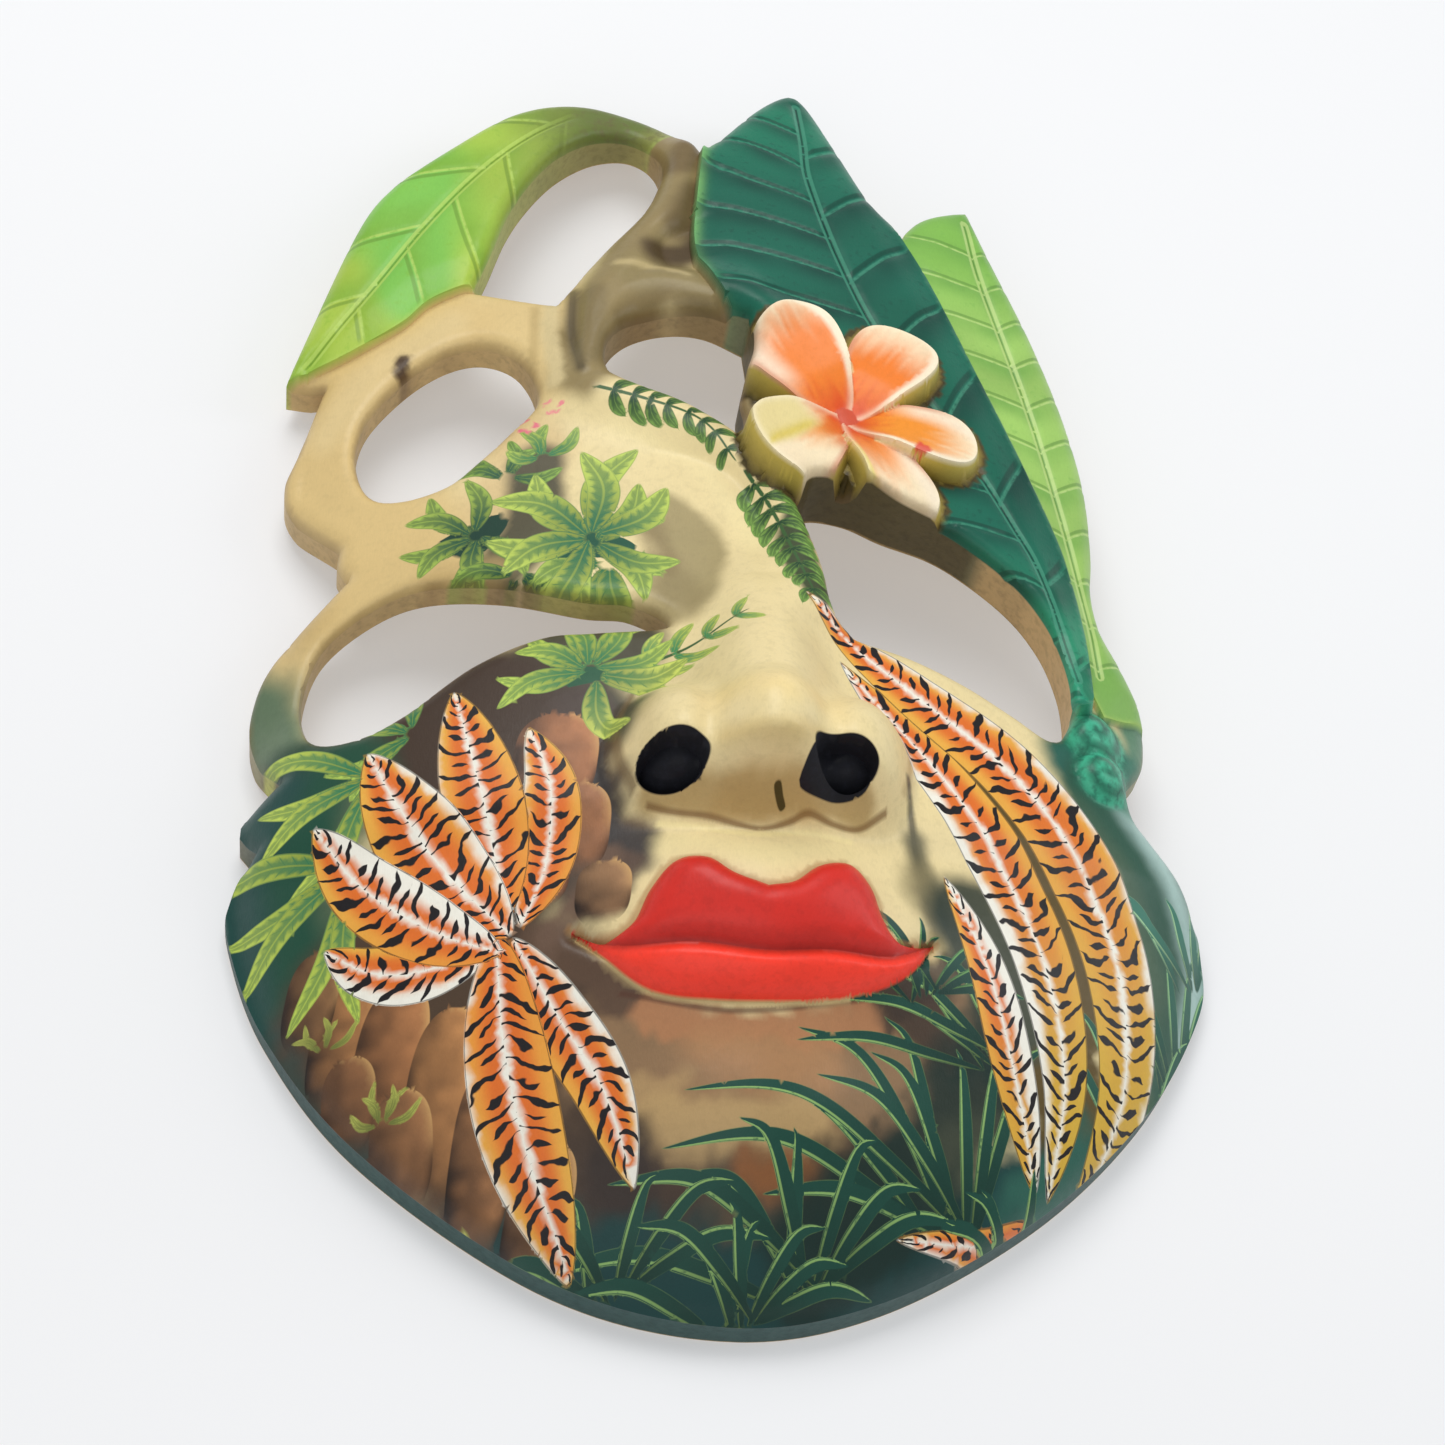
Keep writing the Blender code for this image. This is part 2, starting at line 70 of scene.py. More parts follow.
RIM_WIDTH = 8.0
RIM_RUN = 3.0
EDGE_ROUND = 4.5
NOSTRIL_DEPTH = 9.0
VEIN_DEPTH = 1.2
VEIN_HALF = 1.3
LEAF_SLOPE = 12.0
PETAL_CURL = 3.0
PETAL_EYE_DIP = 5.5
LIP_SLOPE = 8.0
MOUTH_HALF = 2.2
FACE_TO_CROWN = 12.0
RIM_FILLET = 4.0

# Mesh spacing, in millimetres
GRID = 1.28
EDGE = 1.7
LINE = 1.5
BACK_GRID = 6.0
STEP = 1.0
SOLID_SPACING = 5.8

# Edges of the skin that are sharper than this stay crisp, in degrees
SHARP_ANGLE = 48

# The outline as smooth stretches, each starting at the corner where the last one ends
OUTER = [
    [(-131, 90), (-122, 121), (-112, 150), (-103, 164)],
    [(-103, 164), (-87, 179), (-71, 194), (-57, 201), (-43, 204), (-28, 201), (-17, 193), (-9, 181)],
    [(-9, 181), (-2, 192), (6, 204), (13, 212), (19, 215), (24, 211), (32, 189), (41, 165), (50, 152)],
    [(50, 152), (57, 161), (66, 166), (73, 168)],
    [(73, 168), (80, 145), (91, 115), (99, 89), (104, 65), (105, 43), (104, 28), (106, 15), (111, 5),
     (116, -7), (118, -17), (116, -27), (109, -38)],
    [(109, -38), (111, -47), (116, -52)],
    [(116, -52), (127, -62), (133, -79), (131, -96), (113, -128), (82, -159), (40, -184), (0, -192),
     (-46, -182), (-95, -150), (-122, -117), (-134, -88), (-134, -76), (-128, -65)],
    [(-128, -65), (-133, -59)],
    [(-133, -59), (-132, -54), (-123, -46)],
    [(-123, -46), (-130, -36), (-133, -25), (-131, -12), (-124, 1), (-109, 19)],
    [(-109, 19), (-112, 24), (-112, 30)],
    [(-112, 30), (-126, 44), (-129, 55), (-126, 67), (-120, 89)],
    [(-120, 89), (-131, 90)],
]
ARCH_HOLE = [
    [(-78, 120), (-74, 132), (-69, 150), (-63, 164), (-55, 177), (-46, 186), (-38, 190), (-31, 190),
     (-25, 185), (-22, 176), (-24, 164), (-29, 151), (-38, 138), (-45, 127), (-54, 113)],
    [(-54, 113), (-65, 116), (-78, 120)],
]
LEFT_HOLE = [
    [(-58, 76), (-66, 64), (-75, 54), (-83, 47), (-95, 44), (-104, 47), (-109, 60), (-107, 75),
     (-96, 89), (-84, 97), (-73, 98), (-63, 91), (-58, 76)],
]
RIGHT_HOLE = [
    [(0, 61), (-8, 67), (-18, 73), (-30, 78), (-38, 85), (-39, 95), (-33, 104), (-22, 109), (-10, 109),
     (2, 103)],
    [(2, 103), (3, 90), (0, 77), (1, 69), (0, 61)],
]
LEFT_EYE = [
    [(-21, -9), (-31, -1), (-44, 1), (-66, 8), (-88, 11), (-103, 6), (-115, -5), (-119, -22),
     (-115, -36), (-104, -39), (-91, -34), (-73, -20), (-55, -12), (-40, -11), (-21, -9)],
]
RIGHT_EYE = [
    [(15, 36), (20, 43), (31, 43), (42, 38), (56, 34), (67, 28), (78, 20), (85, 12), (90, 2),
     (93, -12), (92, -24), (86, -30), (75, -25), (61, -18), (45, -12), (30, -9)],
    [(30, -9), (24, -3), (21, 14), (15, 36)],
]
HOLES = [ARCH_HOLE, LEFT_HOLE, RIGHT_HOLE, LEFT_EYE, RIGHT_EYE]

FACE_MIDDLE = -62.0
FACE_HALF = 136.0
FACE_REACH = (134.0, 152.0)
CROWN_START = 20.0
CROWN_REACH = 192.0
CROWN_HALF = 124.0
JAW_RIM_END = (-56, -30)
TIP_REST = (192, 202)

# Raised pieces of the carving
LEAF_A = [
    [(-136, 88), (-127, 121), (-116, 152), (-107, 168), (-74, 199), (-46, 210), (-24, 206), (-14, 195)],
    [(-14, 195), (-30, 183), (-44, 178), (-57, 163), (-64, 148), (-69, 132), (-75, 121)],
    [(-75, 121), (-90, 114), (-98, 106), (-111, 98), (-122, 93), (-136, 88)],
]
LEAF_B = [
    [(-11, 178), (-5, 193), (4, 208), (12, 217), (22, 221)],
    [(22, 221), (32, 192), (43, 165), (50, 148), (58, 129), (71, 94), (87, 55), (95, 33), (99, 9),
     (100, -14)],
    [(100, -14), (97, -21), (90, -20)],
    [(90, -20), (86, -6), (80, 6), (62, 21), (44, 32), (26, 50), (2, 97), (-5, 109), (-11, 121),
     (-14, 136), (-13, 156), (-11, 178)],
]
LEAF_C = [
    [(50, 148), (56, 164), (66, 170), (76, 173)],
    [(76, 173), (86, 146), (96, 116), (104, 90), (109, 66), (110, 43), (109, 28), (111, 16), (117, 5),
     (122, -10), (112, -16), (103, -18)],
    [(103, -18), (91, 8), (76, 48), (60, 98), (46, 144)],
    [(46, 144), (50, 148)],
]
MIDRIB_A = [(-126, 93), (-108, 119), (-94, 142), (-80, 163), (-66, 180), (-50, 195)]
MIDRIB_B = [(20, 207), (21, 186), (22, 166), (30, 130), (42, 98), (66, 60), (78, 40), (86, 24), (95, -10)]
MIDRIB_C = [(71, 160), (75, 132), (89, 76), (100, 23), (103, -4)]
LEAVES = [(LEAF_C, MIDRIB_C, 0.6), (LEAF_B, MIDRIB_B, 1.5), (LEAF_A, MIDRIB_A, 1.0)]
STALK_FADE = (-62, -24)

LIPS = [
    [(-45, -104), (-37, -108), (-30, -105), (-26, -97), (-20, -90), (-12, -90), (-5, -95), (3, -98)],
    [(3, -98), (10, -96), (17, -90), (25, -88), (31, -93), (34, -100), (39, -105), (49, -102)],
    [(49, -102), (42, -112), (30, -119), (14, -123), (-8, -124), (-27, -120), (-45, -104)],
]
MOUTH_LINE = [(-44, -105), (-32, -111), (-16, -112), (3, -114), (20, -112), (36, -110), (48, -103)]
VINES = [
    ([(-46, 82), (-46, 98), (-41, 112), (-31, 130), (-21, 151), (-17, 166), (-15, 182)], 8.0, 5.5),
    ([(-44, 92), (-38, 112), (-27, 119), (-14, 118), (-2, 112), (8, 102)], 8.0, 5.0),
    ([(-42, 76), (-28, 70), (-12, 60), (2, 48), (12, 32), (18, 14), (20, -2)], 9.0, 6.0),
]
HOLLOWS = [
    ((-17, 137), (9, 7), 6.0),
    ((-49, 102), (3, 15), 5.5),
    ((-12, 34), (15, 17), 9.0),
    ((-58, 30), (26, 14), 3.0),
    ((43, -76), (5, 18), 3.0),
    ((-41, -76), (6, 18), 2.0),
    ((2, -131), (34, 6), 6.5),
]
KNOBS = [((99, -26), 9.5, 6.5), ((101, -39), 8.5, 6.0)]
FLOWER_CENTRE = (29.0, 66.0)
BLOCK_CENTRE = (28.0, 58.0)
PETALS = [(124, 40, 19), (58, 39, 17), (-10, 39, 14), (-57, 41, 12), (222, 31, 19)]
NOSE_TIP = (3.0, -55.0)
NOSE_TOP = (4.0, 6.0)
NOSE_BASE = (-80, -64)
TIP_RADII = (22, 25)
WINGS = [(-20, -56), (26, -56)]
WING_RADII = (19, 24)
NOSTRILS = [(-22.0, -66.0), (22.0, -65.0)]
NOSTRIL_HALF = (8.5, 5.5)
NOSTRIL_RIM = (0.86, 1.06)
SLOT = [(3.8, -72.9), (5.3, -72.4), (6.6, -74.0), (7.6, -75.3), (6.4, -76.0), (5.0, -74.8), (3.8, -72.9)]
NOSTRIL_PAINT = [
    [(-31, -66), (-30, -63), (-26, -61), (-20.5, -61.8), (-14, -67.5), (-15.5, -70.4), (-20, -71),
     (-25, -70.4), (-29, -68.8), (-31, -66)],
    [(10.6, -72.6), (11, -69.5), (14, -64.5), (18, -61), (23.5, -61.2), (28.8, -65.5), (29, -69),
     (25.5, -71.2), (18, -72.8), (10.6, -72.6)],
]


# Plane geometry of the drawing
def spline(points, spacing, closed=False):
    """Points along a Catmull-Rom curve through the given ones, the last one left out."""
    p = np.array(points, float)
    if closed:
        p = np.vstack([p[-1], p, p[0], p[1]])
    else:
        p = np.vstack([2 * p[0] - p[1], p, 2 * p[-1] - p[-2]])
    out = []
    for a, b, c, d in zip(p[:-3], p[1:-2], p[2:-1], p[3:]):
        count = max(1, int(round(np.linalg.norm(c - b) / spacing)))
        t = (np.arange(count) / count)[:, None]
        out.append(0.5 * (2 * b + (c - a) * t + (2 * a - 5 * b + 4 * c - d) * t**2
                          + (3 * b - a - 3 * c + d) * t**3))
    return np.vstack(out)


def loop(stretches, spacing):
    if len(stretches) == 1:
        return spline(stretches[0][:-1], spacing, closed=True)
    return np.vstack([spline(stretch, spacing) for stretch in stretches])


def line(points, spacing):
    return np.vstack([spline(points, spacing), np.array(points[-1], float)])


def along(chain):
    """Arc length at each point of a chain."""
    steps = np.linalg.norm(np.diff(chain, axis=0), axis=1)
    return np.concatenate([[0], np.cumsum(steps)])


def tree_of(points):
    tree = kdtree.KDTree(len(points))
    for i, p in enumerate(points):
        tree.insert((p[0], p[1], 0), i)
    tree.balance()
    return tree


def nearest(points, chain, closed=False):
    """Distance to a chain, position along it and the side: positive at the left of its way."""
    tree = tree_of(chain)
    at = np.array([tree.find((p[0], p[1], 0))[1] for p in points], int)
    length = along(chain)
    best = np.full(len(points), 1e9)
    place = np.zeros(len(points))
    side = np.ones(len(points))
    count = len(chain)
    for shift in (-1, 0):
        start = at + shift
        if closed:
            start %= count
            end = (start + 1) % count
            usable = np.ones(len(points), bool)
        else:
            usable = (start >= 0) & (start < count - 1)
            start = np.clip(start, 0, count - 2)
            end = start + 1
        a, b = chain[start], chain[end]
        ab = b - a
        ap = points - a
        t = np.clip((ap * ab).sum(1) / np.maximum((ab * ab).sum(1), 1e-12), 0, 1)
        gap = ap - t[:, None] * ab
        d = np.hypot(gap[:, 0], gap[:, 1])
        cross = ab[:, 0] * ap[:, 1] - ab[:, 1] * ap[:, 0]
        better = usable & (d < best - 1e-9)
        best = np.where(better, d, best)
        place = np.where(better, length[start] + t * np.hypot(ab[:, 0], ab[:, 1]), place)
        side = np.where(better, np.where(cross >= 0, 1, -1), side)
    return best, place, side


def inside(points, ring):
    x, y = points[:, 0], points[:, 1]
    odd = np.zeros(len(points), bool)
    for (x0, y0), (x1, y1) in zip(ring, np.roll(ring, -1, 0)):
        if y0 != y1:
            crosses = (y0 > y) != (y1 > y)
            odd ^= crosses & (x < x0 + (y - y0) * (x1 - x0) / (y1 - y0))
    return odd


FAR = 30.0


def close_to(points, chain):
    return np.all((points > chain.min(0) - FAR) & (points < chain.max(0) + FAR), axis=1)


def signed_distance(points, ring):
    """Distance to a closed outline, positive inside it; exact only near it and inside it."""
    near = close_to(points, ring)
    out = np.full(len(points), -FAR)
    p = points[near]
    out[near] = np.where(inside(p, ring), 1, -1) * nearest(p, ring, True)[0]
    return out


def line_distance(points, chain):
    near = close_to(points, chain)
    out = np.full(len(points), FAR)
    out[near] = nearest(points[near], chain)[0]
    return out


def smooth_step(low, high, value):
    t = np.clip((value - low) / (high - low), 0, 1)
    return t * t * (3 - 2 * t)


def smooth_max(a, b, softness):
    h = np.clip(0.5 + 0.5 * (a - b) / softness, 0, 1)
    return b + (a - b) * h + softness * h * (1 - h)


def bump(u, v, centre, radii):
    return np.exp(-((u - centre[0]) / radii[0]) ** 2 - ((v - centre[1]) / radii[1]) ** 2)


def ball(u, v, centre, radii):
    inside_ball = 1 - ((u - centre[0]) / radii[0]) ** 2 - ((v - centre[1]) / radii[1]) ** 2
    return np.clip(inside_ball, 0, None) ** 0.9


def lattice(i, j, seed):
    """A fixed pseudo-random share for each cell of a lattice."""
    n = (i * 374761393 + j * 668265263 + seed * 974711) & 0x7FFFFFFF
    n = ((n ^ (n >> 13)) * 1274126177) & 0x7FFFFFFF
    return ((n ^ (n >> 16)) & 0xFFFF) / 65535.0


def mottle(u, v, size, seed=0):
    """Smooth noise from 0 to 1 over the plan, with blotches of the given size."""
    x, y = u / size, v / size
    i, j = np.floor(x).astype(np.int64), np.floor(y).astype(np.int64)
    fx, fy = x - i, y - j
    fx, fy = fx * fx * (3 - 2 * fx), fy * fy * (3 - 2 * fy)
    low = lattice(i, j, seed) * (1 - fx) + lattice(i + 1, j, seed) * fx
    high = lattice(i, j + 1, seed) * (1 - fx) + lattice(i + 1, j + 1, seed) * fx
    return low * (1 - fy) + high * fy


# Heights of the carving
def blank(u, v):
    reach = np.where(v < FACE_MIDDLE, FACE_REACH[0], FACE_REACH[1])
    spread = 1 - (u / FACE_HALF) ** 2 - ((v - FACE_MIDDLE) / reach) ** 2
    face = CHEEK_RISE * np.clip(spread, 0, None) ** 0.62
    lengthways = 1 - (np.clip(v - CROWN_START, 0, None) / CROWN_REACH) ** 2
    arch = np.clip(1 - (u / CROWN_HALF) ** 2, 0, None) * lengthways
    crown = CROWN_EDGE_RISE + (CROWN_RISE - CROWN_EDGE_RISE) * arch
    crown = crown * smooth_step(-50, -5, v)
    return smooth_max(smooth_max(face, crown, FACE_TO_CROWN), RIM_THICKNESS, RIM_FILLET)


def muzzle(u, v):
    return MUZZLE_RISE * bump(u, v, (2, -98), (42, 30)) + CHIN_RISE * bump(u, v, (2, -152), (34, 20))


def nose(u, v):
    t = np.clip((v - NOSE_TIP[1]) / (NOSE_TOP[1] - NOSE_TIP[1]), 0, 1)
    middle = NOSE_TIP[0] + (NOSE_TOP[0] - NOSE_TIP[0]) * t
    across = np.abs(u - middle) / (21.0 - 7.0 * t)
    ridge = (0.90 - 0.66 * t) * np.exp(-across**2.4) * (1 - smooth_step(0, 34, v))
    shape = smooth_max(ridge, ball(u, v, NOSE_TIP, TIP_RADII), 0.12)
    wings = 0.70 * np.max([ball(u, v, wing, WING_RADII) for wing in WINGS], 0)
    return NOSE_RISE * smooth_step(*NOSE_BASE, v) * smooth_max(shape, wings, 0.26)


def crown_relief(u, v):
    points = np.c_[u, v]
    rise = np.zeros(len(u))
    for path, half, height in VINES:
        rise = np.maximum(rise, height * np.exp(-(line_distance(points, line(path, LINE)) / half) ** 2))
    for centre, radii, depth in HOLLOWS:
        rise = rise - depth * bump(u, v, centre, radii)
    for centre, radius, height in KNOBS:
        rise = np.maximum(rise, height * ball(u, v, centre, (radius, radius)))
    return rise


def petal_half(share):
    a = np.clip(share, 0, 1)
    return a**0.55 * np.sqrt(1 - a**5)


def petal_outline(petal):
    angle, length, half = petal
    a = 0.5 - 0.5 * np.cos(np.linspace(0, np.pi, 64))
    side = petal_half(a) * half
    ring = np.vstack([np.c_[a * length, side], np.c_[a * length, -side][-2:0:-1]])
    c, s = np.cos(np.radians(angle)), np.sin(np.radians(angle))
    return ring @ np.array([[c, s], [-s, c]]) + FLOWER_CENTRE


def petal_frame(u, v, petal):
    angle, length, half = petal
    c, s = np.cos(np.radians(angle)), np.sin(np.radians(angle))
    ahead = ((u - FLOWER_CENTRE[0]) * c + (v - FLOWER_CENTRE[1]) * s) / length
    across = (-(u - FLOWER_CENTRE[0]) * s + (v - FLOWER_CENTRE[1]) * c) / half
    return ahead, across


OUTER_RING = loop(OUTER, EDGE)
RINGS = [OUTER_RING, *(loop(hole, EDGE) for hole in HOLES)]
EDGE_POINTS = np.vstack(RINGS)
LEAF_RINGS = [loop(outline, LINE) for outline, _, _ in LEAVES]
MIDRIBS = [line(midrib, LINE) for _, midrib, _ in LEAVES]
# The side veins of each leaf: spacing, lean to the tip, bend, depth, and how much wider the other side's are
VEINS = [(15.0, 0.45, 0.0, 0.35, 1.0), (17.0, 0.75, 0.006, 0.8, 1.7), (25.0, 1.0, 0.004, 0.4, 1.2)]
PETAL_RINGS = [petal_outline(p) for p in PETALS]
NOSTRIL_RINGS = [spline(ring[:-1], 1.0, closed=True) for ring in NOSTRIL_PAINT]
SLOT_RING = spline(SLOT[:-1], 0.5, closed=True)
LIP_RING = loop(LIPS, 1.0)
MOUTH = line(MOUTH_LINE, 1.0)


def vein_count(place, away, side, leaf):
    """How many side veins lie between a leaf's tip and a point."""
    spacing, lean, bend, _, wide = VEINS[leaf]
    return (place + lean * away - bend * away**2) / (spacing * np.where(side > 0, wide, 1.0))


class Place:
    """Everything about the front's points that both the carving and the paint need."""

    def __init__(self, points):
        self.points = points
        self.u, self.v = points[:, 0], points[:, 1]
        self.edge = np.min([np.abs(signed_distance(points, ring)) for ring in RINGS], 0)
        self.leaf_d = [signed_distance(points, ring) for ring in LEAF_RINGS]
        self.midrib = [nearest(points, chain) for chain in MIDRIBS]
        self.petal_d = [signed_distance(points, ring) for ring in PETAL_RINGS]
        self.petal_f = [petal_frame(self.u, self.v, p) for p in PETALS]
        self.lips = signed_distance(points, LIP_RING)
        self.mouth = nearest(points, MOUTH)
        self.nostril = np.min([np.hypot((self.u - c[0]) / NOSTRIL_HALF[0], (self.v - c[1]) / NOSTRIL_HALF[1])
                               for c in NOSTRILS], 0)

    def leaf_relief(self):
        rise = np.zeros(len(self.u))
        top = np.full(len(self.u), -1)
        for i, (_, _, level) in enumerate(LEAVES):
            d = self.leaf_d[i]
            on = smooth_step(-STEP / 2, STEP / 2, d)
            away, place, side = self.midrib[i]
            crease = VEIN_DEPTH * np.exp(-(away / VEIN_HALF) ** 2)
            spacing, _, _, depth, _ = VEINS[i]
            q = vein_count(place, away, side, i)
            groove = np.exp(-((q - np.round(q)) * spacing / 0.9) ** 2)
            crease = np.maximum(crease, depth * groove * smooth_step(0, 3, d))
            leaf = level * LEAF_STEP + LEAF_SWELL * smooth_step(0, LEAF_SLOPE, d) - crease
            if i == 2:
                leaf = leaf * (1 - smooth_step(*STALK_FADE, self.u))
            rise = rise * (1 - on) + on * leaf
            top = np.where(d > 0, i, top)
        return rise, top

    def flower_relief(self):
        rise = np.zeros(len(self.u))
        top = np.full(len(self.u), -1)
        for i, petal in enumerate(PETALS):
            ahead, across = self.petal_f[i]
            on = smooth_step(-STEP, STEP, self.petal_d[i] + STEP)
            dish = PETAL_CURL * (across**2 - np.clip(across, -1, 1))
            eye = PETAL_EYE_DIP * (1 - smooth_step(0, 0.45, ahead))
            height = on * (PETAL_STEP + dish - eye)
            top = np.where((height > rise) & (self.petal_d[i] > -0.6), i, top)
            rise = np.maximum(rise, height)
        return rise, top

    def height(self):
        u, v = self.u, self.v
        z = blank(u, v) + muzzle(u, v) + nose(u, v) + crown_relief(u, v)
        leaves, self.leaf_top = self.leaf_relief()
        flower, self.petal_top = self.flower_relief()
        self.on_flower = flower > leaves
        self.leaf_top = np.where(self.on_flower, -1, self.leaf_top)
        self.petal_top = np.where(self.on_flower, self.petal_top, -1)
        z = z + np.where(self.on_flower, flower, leaves)
        z = z + LIP_RISE * np.sqrt(1 - (1 - np.clip(self.lips / LIP_SLOPE, 0, 1)) ** 2)
        z = z - MOUTH_DEPTH * np.exp(-(self.mouth[0] / MOUTH_HALF) ** 2)
        z = z - NOSTRIL_DEPTH * (1 - smooth_step(*NOSTRIL_RIM, self.nostril))
        short = np.clip(EDGE_ROUND - self.edge, 0, EDGE_ROUND)
        z = z - (EDGE_ROUND - np.sqrt(EDGE_ROUND**2 - short**2)) * smooth_step(10, 16, z)
        return np.maximum(z, RIM_THICKNESS * 0.6)


def back_height(points):
    u, v = points[:, 0], points[:, 1]
    body = blank(u, v) + muzzle(u, v) + 0.45 * nose(u, v)
    wall = WALL + (FLOWER_WALL - WALL) * bump(u, v, FLOWER_CENTRE, (34, 30))
    scooped = np.clip(body - wall, 0, None)
    beside_jaw = 1 - smooth_step(*JAW_RIM_END, v)
    from_rim = smooth_step(RIM_WIDTH, RIM_WIDTH * RIM_RUN, np.abs(signed_distance(points, OUTER_RING)))
    return scooped * (1 - smooth_step(*TIP_REST, v)) * (1 - beside_jaw * (1 - from_rim))


# Colours, as red, green and blue from 0 to 255
CREAM = (234, 214, 160)
TAN = (219, 190, 130)
SAND = (196, 166, 108)
OLIVE = (141, 122, 84)
BARK = (58, 40, 28)
EMERALD = (34, 120, 78)
LIME = (204, 218, 98)
BLADE_DARK = (22, 66, 54)
BLADE_LIGHT = (140, 178, 104)
ORANGE = (230, 122, 44)
AMBER = (232, 178, 74)
WHITE = (240, 236, 222)
INK = (26, 22, 24)
UPPER_LIP = (214, 46, 36)
LOWER_LIP = (255, 64, 44)
BARE_WOOD = (214, 180, 124)

# Each carved leaf's main tone, the tone in its dark parts and the one on its veins
LEAF_TONES = [
    ((156, 196, 100), (112, 164, 74), (196, 218, 138)),
    ((22, 98, 78), (10, 58, 50), (72, 150, 122)),
    ((170, 198, 74), (126, 172, 54), (190, 216, 108)),
]


def tone(colour):
    """A colour as the renderer's linear values."""
    c = np.array(colour, float) / 255
    return np.where(c <= 0.04045, c / 12.92, ((c + 0.055) / 1.055) ** 2.4)


def tuft(centre, start, end, count, length, half, kind="leaflet", bend=0.15, **more):
    """Leaflets that spread like a fan from one point."""
    made = []
    for k in range(count):
        angle = math.radians(start + (end - start) * k / max(1, count - 1))
        reach = length * (0.82 + 0.30 * lattice(k, count, 11))
        way = np.array([math.cos(angle), math.sin(angle)])
        side = np.array([-way[1], way[0]]) * bend * reach * (1 if k % 2 else -1)
        c = np.array(centre)
        path = [c + way * 1.5, c + way * reach * 0.55 + side, c + way * reach]
        made.append(dict(path=path, half=half, kind=kind, **more))
    return made


def frond(path, count, length, half, kind="leaflet", splay=52, **more):
    """Leaflets in pairs along a curved stalk, with one at its end."""
    stalk = line(path, 1.0)
    made = [dict(path=path, half=0.55, kind="plain", colour=more.get("stalk", (60, 96, 52)), taper=0.3)]
    more = {k: x for k, x in more.items() if k != "stalk"}
    for k in range(count):
        share = 0.12 + 0.80 * k / max(1, count - 1)
        i = int(share * (len(stalk) - 2))
        way = stalk[i + 1] - stalk[i]
        angle = math.atan2(way[1], way[0])
        reach = length * (1 - 0.45 * share) * (0.85 + 0.3 * lattice(k, count, 5))
        for s in (-1, 1):
            a = angle + s * math.radians(splay)
            b = angle + s * math.radians(splay * 0.55)
            first = stalk[i] + 0.5 * reach * np.array([math.cos(a), math.sin(a)])
            last = first + 0.5 * reach * np.array([math.cos(b), math.sin(b)])
            made.append(dict(path=[stalk[i], first, last], half=half * (1 - 0.3 * share), kind=kind, **more))
    return made


def grass(base, start, end, count, length, half, droop=0.5, **more):
    """Long blades that rise from one place and bend over."""
    made = []
    for k in range(count):
        angle = math.radians(start + (end - start) * k / max(1, count - 1))
        reach = length * (0.75 + 0.45 * lattice(k, count, 3))
        way = np.array([math.cos(angle), math.sin(angle)])
        lean = np.array([1.0, 0.0]) * (1 if way[0] >= 0 else -1) * droop * reach * abs(way[0])
        foot = np.array(base) + (lattice(k, 7, 9) - 0.5) * np.array([9, 5])
        path = [foot, foot + way * reach * 0.4, foot + way * reach * 0.72 + lean * 0.22,
                foot + way * reach * 0.92 + lean * 0.8 - (0, droop * reach * 0.22)]
        made.append(dict(path=path, half=half, kind="blade", **more))
    return made


# Strokes thinner than this keep their line exactly
THIN = 1.3

